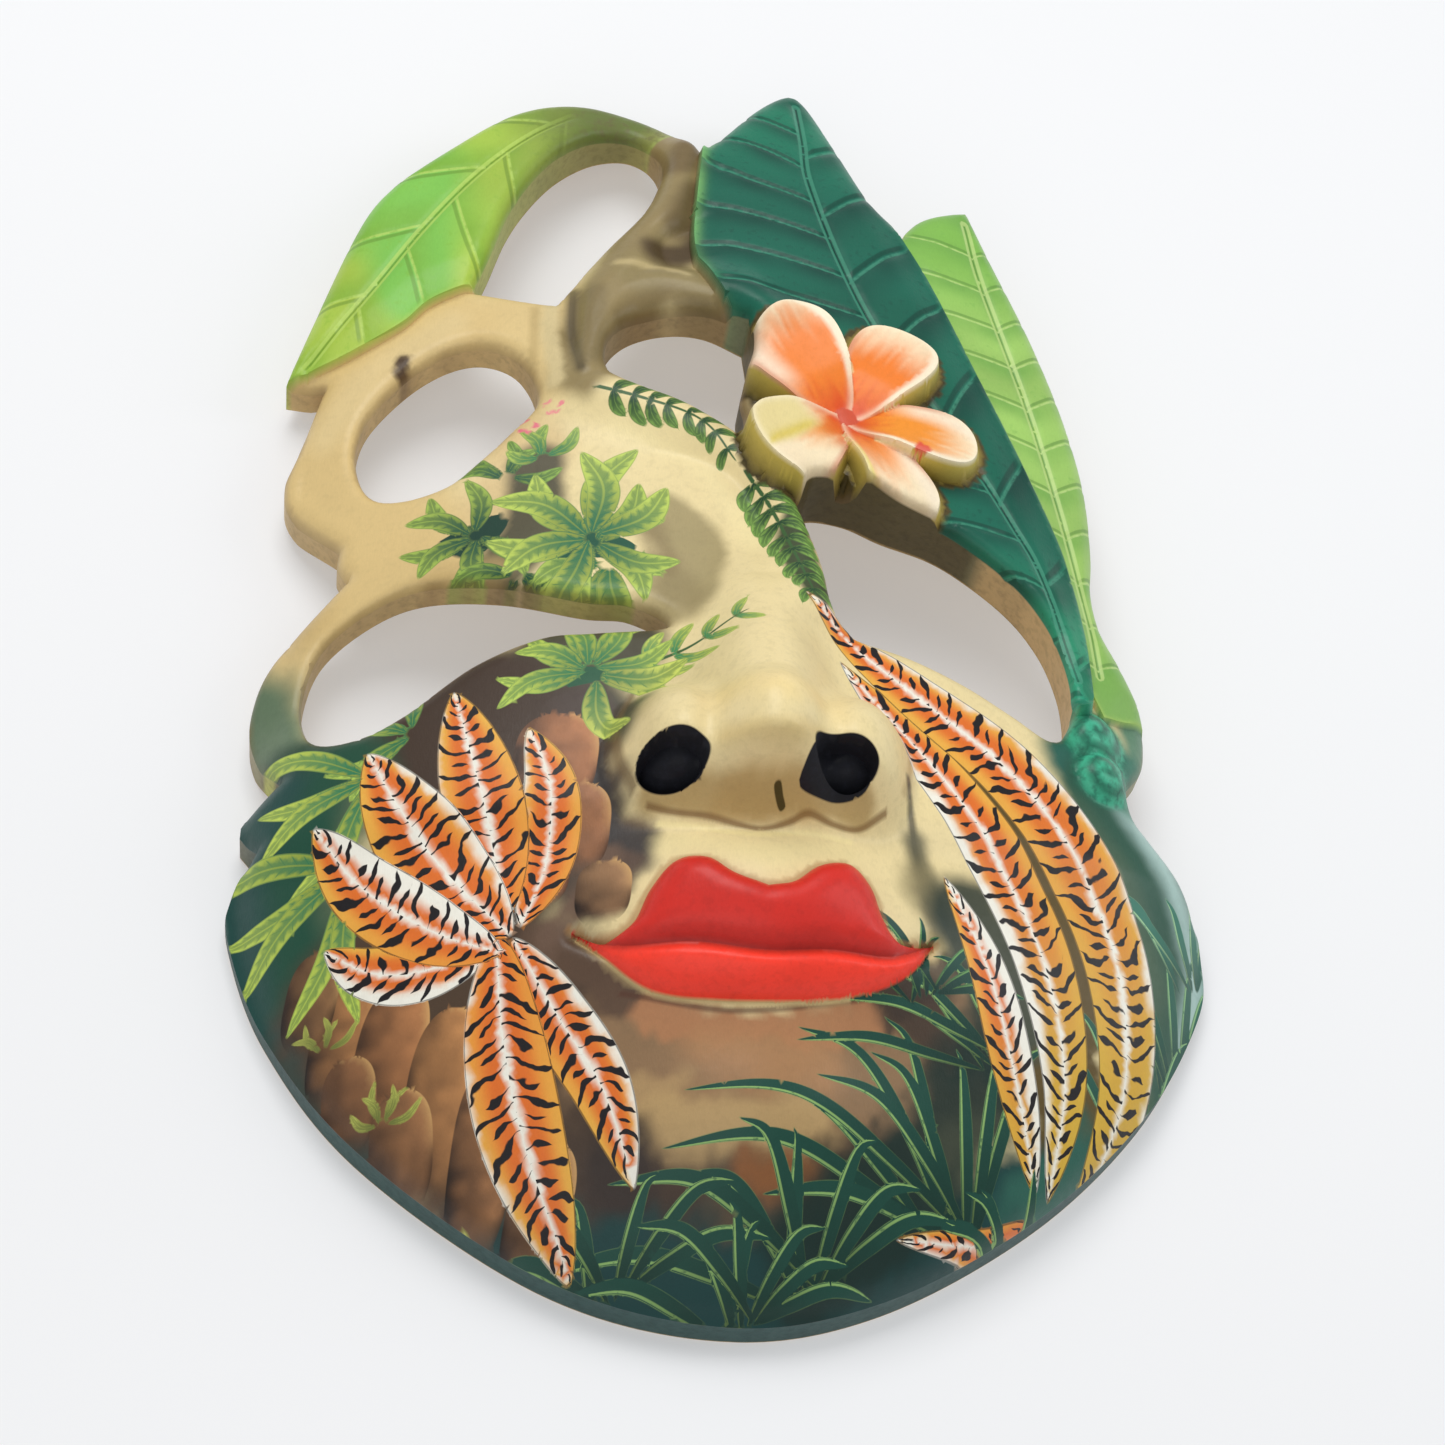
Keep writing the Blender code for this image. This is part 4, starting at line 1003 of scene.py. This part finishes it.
    def carved_leaves(self):
        p = self.place
        for i, (light, dark, accent) in enumerate(LEAF_TONES):
            at = np.where((p.leaf_top == i) & (p.leaf_d[i] > 0))[0]
            away, place, side = (x[at] for x in p.midrib[i])
            u, v, d = p.u[at], p.v[at], p.leaf_d[i][at]
            rim = ((196, 214, 112), 0.45 * np.exp(-d**2))
            if i == 0:
                veined = 1.0
                layers = [((112, 178, 66), 0.6 * smooth_step(104, 150, v)),
                          ((120, 168, 84), 0.7 * smooth_step(20, -12, v)), rim]
            elif i == 1:
                veined = 1.0
                band = smooth_step(0, 1, -side) * smooth_step(9, 3, d) * smooth_step(110, 60, v)
                glow = np.exp(-(d / 2.4) ** 2) * (side < 0) * smooth_step(105, 150, v)
                layers = [((50, 152, 112), 0.85 * smooth_step(40, -10, v)), ((52, 170, 136), 0.6 * band),
                          ((32, 134, 100), 0.6 * smooth_step(150, 205, v)), ((140, 196, 108), 0.75 * glow),
                          ((96, 170, 120), 0.25 * np.exp(-d**2))]
            else:
                veined = 1 - smooth_step(-72, -46, u)
                stalk = smooth_step(-80, -42, u)
                fresh = smooth_step(0.40, 0.75, mottle(u, v, 24, 40)) * smooth_step(-60, -90, u)
                layers = [((84, 190, 84), 0.6 * fresh), ((104, 118, 58), stalk),
                          ((170, 170, 92), 0.5 * smooth_step(-80, -50, u) * smooth_step(10, 2, d)), rim]
            shade = tone(light) * (0.86 + 0.26 * mottle(u, v, 16, 30 + i)[:, None])
            for colour, share in layers:
                shade = over(shade, colour, share)
            self.lay(at, shade, 1.0, dark)
            if i == 2:
                self.dark[at] = over(self.dark[at], (104, 98, 62), stalk)
            self.accent[at] = tone(accent)
            self.vein[at] = np.c_[vein_count(place, away, side, i), away, d]
            self.clear(at)
            self.veined[at] = veined

    def flower(self):
        p = self.place
        best = np.max(p.petal_d, 0)
        close = np.hypot(p.u - BLOCK_CENTRE[0], p.v - BLOCK_CENTRE[1]) + 2 * mottle(p.u, p.v, 5, 47) < 40
        below = close & (p.leaf_top < 0) & (p.v < 66) & (p.u > 20)
        block = np.where(((best > -3.6) | below) & (best <= 0.3))[0]
        self.lay(block, (84, 72, 38), 1.0, (46, 38, 20))
        self.clear(block)
        side = np.where((best > -1.9) & (best <= 0.3))[0]
        self.lay(side, (214, 190, 92), 0.9 * smooth_step(-1.8, -0.9, best[side]))
        middle = np.where(np.hypot(p.u - FLOWER_CENTRE[0], p.v - FLOWER_CENTRE[1]) < 6)[0]
        self.lay(middle, (206, 84, 56))
        self.clear(middle)
        for i, (reach, inner) in enumerate(PETAL_WARM):
            at = np.where(p.on_flower & (p.petal_top == i) & (p.petal_d[i] > -0.12))[0]
            ahead, across = (x[at] for x in p.petal_f[i])
            share = across / np.maximum(petal_half(ahead), 0.1)
            streak = 0.16 * (mottle(across * 16, ahead * 3.0, 1.0, 50 + i) - 0.5)
            bend = 0.35 * np.abs(share - 0.1) if i == 4 else 0
            warm = 1 - smooth_step(reach - 0.36, reach + 0.16, ahead + bend + 0.24 * across**2 + streak)
            red = 1 - smooth_step(0.02, 0.38, ahead + streak)
            shade = np.tile(tone((248, 228, 190)), (len(at), 1))
            shade = over(shade, inner, 0.95 * warm)
            shade = over(shade, (222, 70, 26), 0.9 * red, 0.85 / 0.9)
            if i in (0, 2, 3):
                pale = smooth_step(0.25, 0.80, share) * smooth_step(0.25, 0.55, ahead)
                shade = over(shade, (250, 234, 208), 0.8 * pale)
            if i == 4:
                outer = smooth_step(0.10, -0.25, share) * smooth_step(0.22, 0.45, ahead)
                shade = over(shade, (234, 216, 148), 0.9 * outer, 0.85 / 0.9)
                bright = np.exp(-((share + 0.15) / 0.13) ** 2) * smooth_step(0.25, 0.5, ahead)
                shade = over(shade, (230, 204, 50), 0.7 * bright, 0.6 / 0.7)
            else:
                curl = smooth_step(-0.74, -0.88, share) * smooth_step(0.12, 0.35, ahead)
                shade = over(shade, (252, 240, 212) if i < 3 else (232, 212, 84), 0.9 * curl)
            shade = over(shade, (252, 238, 204), 0.55 * np.exp(-(p.petal_d[i][at] / 1.3) ** 2))
            meet = smooth_step(0.80, 0.98, share) * (1 - smooth_step(0.55, 0.9, ahead))
            shade = over(shade, (200, 96, 54), 0.6 * meet)
            self.lay(at, shade, 1.0, shade * 0.86)
            self.clear(at)
        spot = np.where((np.hypot(p.u - 50, p.v - 54) < 2.4) & p.on_flower)[0]
        self.lay(spot, (222, 60, 46), 0.9)

    def face_parts(self):
        p = self.place
        u, v = p.u, p.v
        away, _, side = p.mouth
        ledge = np.where((p.lips > -2.6) & (p.lips <= 0) & (side < 0) & (u > -44) & (u < 26))[0]
        self.lay(ledge, (208, 184, 128), 0.85 * (1 - smooth_step(0.4, 1.4, -p.lips[ledge])))
        self.lay(np.where((p.lips > -1.1) & (p.lips <= 0) & (side > 0))[0], (168, 120, 66), 0.55)
        on = np.where(p.lips > 0)[0]
        shade = np.where(side[on, None] > 0, tone(UPPER_LIP), tone(LOWER_LIP))
        # Lips darker along the mouth line: painted shade in the crease between them.
        shade = shade * (1 - 0.45 * np.exp(-(away[on] / 1.3) ** 2)[:, None])
        self.lay(on, shade, 1.0, shade * 0.78)
        self.clear(on)
        painted = np.max([signed_distance(p.points, ring) for ring in NOSTRIL_RINGS], 0) > 0
        hole = np.where(painted | (p.nostril < NOSTRIL_RIM[1]))[0]
        self.lay(hole, (16, 17, 24), 1.0, (30, 31, 40))
        self.clear(hole)
        self.matt[hole] = 1
        self.lay(np.where(signed_distance(p.points, SLOT_RING) > 0)[0], (70, 60, 24))
        for centre, radius, _ in KNOBS:
            away = np.hypot(u - centre[0], v - centre[1]) / radius
            at = np.where((away < 1.25) & (p.leaf_top < 0))[0]
            turn = np.arctan2(v[at] - centre[1], u[at] - centre[0])
            curl = 0.5 + 0.5 * np.cos(2 * np.pi * (away[at] * 1.9 - turn / (2 * np.pi)))
            shade = tone((62, 168, 132)) * (0.40 + 0.80 * curl[:, None])
            self.lay(at, shade, 0.95 * (1 - smooth_step(0.95, 1.25, away[at])), (16, 66, 56))
            self.kinds[at] = 0

    def edges(self):
        """Bare wood that shows in a thin line where the edges have worn."""
        p = self.place
        rub = mottle(p.u, p.v, 5, 70)
        worn = (1 - smooth_step(0.2, 0.9 + 0.5 * rub, p.edge)) * (0.15 + 0.5 * rub)
        self.lay(np.arange(self.count), (134, 104, 64), worn * (p.leaf_top < 0) * smooth_step(-52, -30, p.v))


def wall_tones(paint):
    """The colour of the walls, from the paint at the rim above them."""
    u, v = EDGE_POINTS[:, 0], EDGE_POINTS[:, 1]
    ring = np.concatenate([np.full(len(ring), i) for i, ring in enumerate(RINGS)])
    shade = paint.light[:len(EDGE_POINTS)] * 0.75 + tone(BARE_WOOD) * 0.3
    by_flower = smooth_step(54, 46, np.hypot(u - BLOCK_CENTRE[0], v - BLOCK_CENTRE[1])) * (ring > 0)
    beside_leaf = ((ring == 5) & (u > 30) & (v > -24)) * (1 - by_flower)
    jaw = smooth_step(-50, -75, v) * (ring == 0)
    for colour, share in ((BARE_WOOD, beside_leaf), ((92, 80, 44), by_flower), ((24, 70, 66), jaw)):
        shade = over(shade, colour, share)
    return shade


# The whole skin: front, walls in four strips and back
def mask_object():
    plan, faces = triangulate(front_points())
    place = Place(plan)
    height = place.height()
    paint = Paint(place)
    paint.under()
    paint.shapes()
    paint.carved_leaves()
    paint.flower()
    paint.face_parts()
    paint.edges()
    used = np.unique(faces)
    number = np.full(len(plan), -1)
    number[used] = np.arange(len(used))
    faces = number[faces]

    rim_end = RIM_WIDTH * RIM_RUN
    back_rows = rows_beside(OUTER_RING, True, (-RIM_WIDTH, RIM_WIDTH, -rim_end, rim_end))
    inner = spread(on_mask(np.vstack(back_rows), 1.5), 2.5)
    grid = on_mask(grid_points(BACK_GRID, EDGE_POINTS.min(0), EDGE_POINTS.max(0)), 2.0)
    grid = thinned(grid, np.vstack([EDGE_POINTS, inner]), BACK_GRID * 0.55)
    under, under_faces = triangulate(np.vstack([inner, grid]))
    low = back_height(under)
    edge_count = len(EDGE_POINTS)
    drop = height[:edge_count] - low[:edge_count]
    strips = [np.c_[EDGE_POINTS, height[:edge_count] - share * drop] for share in (0.05, 0.5, 0.95)]
    levels = [np.c_[plan[used], height[used]], *strips, np.c_[under, low]]
    offsets = np.cumsum([0] + [len(level) for level in levels])
    walls = []
    start = 0
    for ring in RINGS:
        a = start + np.arange(len(ring))
        b = start + np.roll(np.arange(len(ring)), -1)
        for k in range(4):
            upper_b, upper_a = (number[b], number[a]) if k == 0 else (offsets[k] + b, offsets[k] + a)
            walls.append(np.c_[upper_b, upper_a, offsets[k + 1] + a, offsets[k + 1] + b])
        start += len(ring)
    back_faces = np.array(under_faces)[:, ::-1] + offsets[4]
    polygons = [*faces.tolist(), *np.vstack(walls).tolist(), *back_faces.tolist()]

    xyz = np.vstack(levels)
    solid_outline = loop(OUTER, SOLID_SPACING)
    xyz[:, :2] -= (solid_outline.min(0) + solid_outline.max(0)) / 2
    xyz = np.clip(xyz / 1000, *np.array(CAD_BOX))
    mesh = bpy.data.meshes.new("painted_mask")
    mesh.from_pydata(xyz.tolist(), [], polygons)
    mesh.update()

    rest = len(xyz) - len(used)
    wall_light = wall_tones(paint)
    back_light = np.tile(tone(BARE_WOOD) * 0.9, (rest - 3 * edge_count, 1))
    edge_light = np.vstack([wall_light, wall_light, wall_light, back_light])
    bare = np.concatenate([np.zeros(len(used)), np.full(3 * edge_count, 0.15), np.ones(len(back_light))])

    def attribute(name, kind, key, values):
        made = mesh.attributes.new(name, kind, "POINT")
        made.data.foreach_set(key, values.astype(np.float32).ravel())

    def on_front(values):
        return np.concatenate([values[used], np.zeros((rest, *values.shape[1:]))])

    for name, front, others in (("light", paint.light, edge_light), ("dark", paint.dark, edge_light * 0.62),
                                ("accent", paint.accent, edge_light)):
        colours = np.concatenate([front[used], others])
        attribute(name, "FLOAT_COLOR", "color", np.c_[colours, np.ones(len(colours))])
    for name in ("kinds", "leaf", "vein"):
        attribute(name, "FLOAT_VECTOR", "vector", on_front(getattr(paint, name)))
    for name in ("veined", "matt"):
        attribute(name, "FLOAT", "value", on_front(getattr(paint, name)))
    attribute("bare", "FLOAT", "value", bare)
    made = bpy.data.objects.new("painted_mask", mesh)
    bpy.context.scene.collection.objects.link(made)
    mesh.shade_smooth()
    mesh.set_sharp_from_angle(angle=math.radians(SHARP_ANGLE))
    return made


# Materials
class Value:
    """A node's output that takes sums and products like a number."""

    def __init__(self, graph, socket):
        self.graph, self.socket = graph, socket

    def __add__(self, other):
        return self.graph.math("ADD", self, other)

    def __sub__(self, other):
        return self.graph.math("SUBTRACT", self, other)

    def __mul__(self, other):
        return self.graph.math("MULTIPLY", self, other)

    def __abs__(self):
        return self.graph.math("ABSOLUTE", self)


class Graph:
    """A short way to build a material's nodes."""

    def __init__(self, name):
        self.material = bpy.data.materials.new(name)
        self.material.use_nodes = True
        self.tree = self.material.node_tree
        self.inputs = self.tree.nodes["Principled BSDF"].inputs

    def put(self, socket, value):
        if isinstance(value, Value):
            self.tree.links.new(value.socket, socket)
        else:
            socket.default_value = value

    def node(self, kind, inputs, output=0, **settings):
        made = self.tree.nodes.new(kind)
        for key, value in settings.items():
            setattr(made, key, value)
        for key, value in inputs.items():
            self.put(made.inputs[key], value)
        return Value(self, made.outputs[output])

    def attribute(self, name, output):
        return self.node("ShaderNodeAttribute", {}, output, attribute_name=name)

    def split(self, vector):
        made = self.tree.nodes.new("ShaderNodeSeparateXYZ")
        self.put(made.inputs[0], vector)
        return (Value(self, socket) for socket in made.outputs)

    def math(self, operation, a, b=0.0, c=0.0, clamp=False):
        return self.node("ShaderNodeMath", {0: a, 1: b, 2: c}, operation=operation, use_clamp=clamp)

    def larger(self, a, b):
        return self.math("MAXIMUM", a, b)

    def step(self, value, low, high, out_low=0.0, out_high=1.0):
        return self.node("ShaderNodeMapRange", {0: value, 1: low, 2: high, 3: out_low, 4: out_high},
                         interpolation_type="SMOOTHSTEP")

    def noise(self, vector, scale, detail=2.0, roughness=0.5, distortion=0.0):
        return self.node("ShaderNodeTexNoise", {"Vector": vector, "Scale": scale, "Detail": detail,
                                                "Roughness": roughness, "Distortion": distortion})

    def stretched(self, vector, along_v):
        return self.node("ShaderNodeMapping", {0: vector, 3: (1.0, along_v, 1.0)})

    def mix(self, share, a, b):
        return self.node("ShaderNodeMix", {0: share, 6: a, 7: b}, 2, data_type="RGBA")

    def scaled(self, colour, by):
        return self.node("ShaderNodeVectorMath", {0: colour, "Scale": by}, operation="SCALE")


def paint_material():
    g = Graph("painted_wood")
    place = g.node("ShaderNodeTexCoord", {}, 3)
    light, dark = g.attribute("light", 0), g.attribute("dark", 0)
    leaflet, blade, stripe = g.split(g.attribute("kinds", 1))
    s, t, rim = g.split(g.attribute("leaf", 1))
    q, away, inset = g.split(g.attribute("vein", 1))
    veined, matt, bare = g.attribute("veined", 2), g.attribute("matt", 2), g.attribute("bare", 2)

    cloud = g.noise(place, 60, 1.0)
    dab = g.noise(place, 420, 2.0, 0.6)
    bristle = g.noise(g.stretched(place, 0.22), 2400, 1.0, 0.6)
    side = abs(t)

    # Plain ground: the darker tone comes through in dabs
    ground = g.math("ADD", g.step(dab, 0.42, 0.74) * 0.55, g.step(cloud, 0.45, 0.75) * 0.35, clamp=True)

    # Leaflets: dark inside with thin side veins, light at the margins
    vein_wave = g.math("PINGPONG", s * 0.30 + side * -0.9, 0.5)
    inner = side + (dab - 0.5) * 0.7 + vein_wave * 0.5
    leaf_dark = g.step(inner, 0.95, 0.45, 0.0, 0.9)
    leaf_dark = g.larger(leaf_dark, g.step(vein_wave, 0.10, 0.04) * g.step(side, 0.9, 0.6))
    leaf_dark = g.larger(leaf_dark * g.step(side, 0.03, 0.12, 0.35, 1.0), g.step(rim, 0.38, 0.16, 0.0, 0.7))

    # Blades: dark with a light line near one rim
    blade_dark = g.larger(g.step(abs(t - 0.66), 0.08, 0.24), g.step(dab, 0.58, 0.70, 0.0, 0.6))

    # Stripes that lean towards the tip, narrow at their ends
    wave = s * 0.235 + g.math("POWER", side, 1.5) * -1.15 + (g.noise(place, 95, 2.0) - 0.5) * 2.6
    wave = wave + g.math("SIGN", t) * 0.18
    reach = g.step(side, 0.10, 0.34, -0.16, 0.0) + g.step(side, 0.80, 1.0, 0.0, -0.14)
    odd = g.math("PINGPONG", wave, 1.0)
    reach = reach - g.step(odd, 0.4, 0.6) * g.step(side, 0.45, 0.75, 0.0, 0.30)
    reach = reach + (g.noise(place, 210, 2.0) - 0.5) * 0.50
    band = g.math("PINGPONG", wave, 0.5) * -1.0 + (reach + 0.200)
    stripe_dark = g.larger(g.step(band, -0.035, 0.035), g.step(rim, 0.45, 0.2, 0.0, 0.7))

    # Carved leaves: shade behind each side vein, a pale line on it, and a dark one beside it
    turn = g.math("FRACT", q)
    shade = g.step(turn, 0.04, 0.62, 0.85, 0.0) * g.step(cloud, 0.25, 0.75, 0.45, 1.0)
    shade = g.larger(shade, g.step(dab, 0.52, 0.78, 0.0, 0.40))
    vein_line = g.larger(g.step(turn, 0.97, 0.995), g.step(turn, 0.040, 0.015))
    vein_line = g.larger(vein_line * g.step(dab, 0.30, 0.55, 0.35, 1.0), g.step(abs(away - 0.9), 0.7, 0.3))
    from_rim = g.step(inset, 0.5, 3.5)
    vein_line = vein_line * veined * from_rim
    vein_dark = g.larger(g.step(abs(turn - 0.93), 0.045, 0.02) * veined, g.step(away, 0.45, 0.2) * veined)
    vein_dark = vein_dark * from_rim

    rest = g.math("SUBTRACT", 1.0, leaflet + blade + (stripe + veined), clamp=True)
    share = ground * rest
    for pattern, weight in zip((leaf_dark, blade_dark, stripe_dark, shade), (leaflet, blade, stripe, veined)):
        share = g.math("MULTIPLY_ADD", pattern, weight, share)
    colour = g.mix(share, light, dark)
    colour = g.mix(vein_dark * 0.55, colour, g.scaled(dark, 0.6))
    colour = g.mix(vein_line * 0.62, colour, g.attribute("accent", 0))

    # Bare wood shows its grain
    grain = g.noise(g.stretched(place, 0.06), 520, 2.0, 0.6, 0.4)
    colour = g.mix(g.step(grain, 0.40, 0.68) * bare, colour, dark)
    relief = bristle * 0.25 + dab * 0.45 + grain * (bare * 0.8)
    for socket, value in (
        ("Base Color", g.scaled(colour, (dab + bristle) * 0.10 + 0.90)),
        ("Roughness", dab * 0.20 + 0.34 + g.larger(bare, matt) * 0.40),
        ("Specular IOR Level", 0.26),
        ("Coat Weight", 0.10),
        ("Coat Roughness", 0.22),
        ("Normal", g.node("ShaderNodeBump", {"Strength": 0.35, "Distance": 0.0004, "Height": relief})),
    ):
        g.put(g.inputs[socket], value)
    return g.material


# The studio, in metres: the floor lies a little below the mask, so that they don't share a plane
FLOOR_REACH = 30.0
FLOOR_HEIGHT = -0.0004


def floor_material():
    g = Graph("pale_floor")
    blotch = g.noise(g.node("ShaderNodeTexCoord", {}, 3), 3, 2.0)
    for socket, value in (
        ("Base Color", g.mix(blotch * 0.2, (0.58, 0.58, 0.585, 1), (0.56, 0.56, 0.565, 1))),
        ("Emission Color", (1, 1, 1, 1)),
        ("Emission Strength", 0.31),
        ("Roughness", 0.9),
        ("Specular IOR Level", 0.1),
    ):
        g.put(g.inputs[socket], value)
    return g.material


def floor():
    made = bpy.data.meshes.new("floor")
    r = FLOOR_REACH
    corners = [(x, y, FLOOR_HEIGHT) for x, y in ((-r, -r), (r, -r), (r, r), (-r, r))]
    made.from_pydata(corners, [], [(0, 1, 2, 3)])
    made.materials.append(floor_material())
    plane = bpy.data.objects.new("floor", made)
    bpy.context.scene.collection.objects.link(plane)


def soft_light(name, place, target, size, power, colour=(1, 1, 1)):
    lamp = bpy.data.lights.new(name, "AREA")
    lamp.shape = "RECTANGLE"
    lamp.size, lamp.size_y = size
    lamp.energy = power
    lamp.color = colour
    made = bpy.data.objects.new(name, lamp)
    made.location = place
    made.rotation_euler = (Vector(target) - Vector(place)).to_track_quat("-Z", "Y").to_euler()
    bpy.context.scene.collection.objects.link(made)


def studio():
    world = bpy.data.worlds.new("studio")
    bpy.context.scene.world = world
    world.use_nodes = True
    background = world.node_tree.nodes["Background"].inputs
    background[0].default_value = (0.94, 0.97, 1.0, 1)
    background[1].default_value = 0.42
    soft_light("key", (-0.20, 0.60, 1.30), (0, 0, 0), (0.9, 0.9), 12.5)
    soft_light("front", (-0.35, -1.10, 1.00), (0, -0.04, 0.03), (1.2, 1.2), 4)
    soft_light("side", (1.3, 0.1, 0.75), (0, 0, 0.03), (0.5, 1.2), 5.0, (0.92, 0.96, 1.0))
    floor()


# The camera, fitted to the photograph: it looks down on the mask from below its chin
VIEW_AZIMUTH = -11
VIEW_ELEVATION = 58
VIEW_ROLL = 13
VIEW_DISTANCE = 0.900
VIEW_TARGET = (-0.002, -0.0325, 0.025)
FOCAL_PIXELS = 3240
IMAGE_PIXELS = 1445
SENSOR_WIDTH = 36


def camera():
    a, e, r = (math.radians(x) for x in (VIEW_AZIMUTH, VIEW_ELEVATION, VIEW_ROLL))
    back = Vector((math.sin(a) * math.cos(e), -math.cos(a) * math.cos(e), math.sin(e)))
    right = (-back).cross(Vector((0, 0, 1))).normalized()
    up = right.cross(-back)
    right, up = right * math.cos(r) + up * math.sin(r), up * math.cos(r) - right * math.sin(r)
    place = Vector(VIEW_TARGET) + back * VIEW_DISTANCE
    made = bpy.data.objects.new("camera", bpy.data.cameras.new("camera"))
    made.data.sensor_width = SENSOR_WIDTH
    made.data.lens = FOCAL_PIXELS / IMAGE_PIXELS * SENSOR_WIDTH
    made.data.clip_start = 0.01
    made.matrix_world = Matrix([[right[i], up[i], back[i], place[i]] for i in range(3)] + [[0, 0, 0, 1]])
    bpy.context.scene.collection.objects.link(made)
    bpy.context.scene.camera = made


camera()
studio()
bpy.context.scene.view_settings.view_transform = "Standard"
mask = mask_object()
mask.data.materials.append(paint_material())
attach(mask, "root")
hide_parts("mask")

print("triangles", sum(len(p.vertices) - 2 for p in mask.data.polygons))
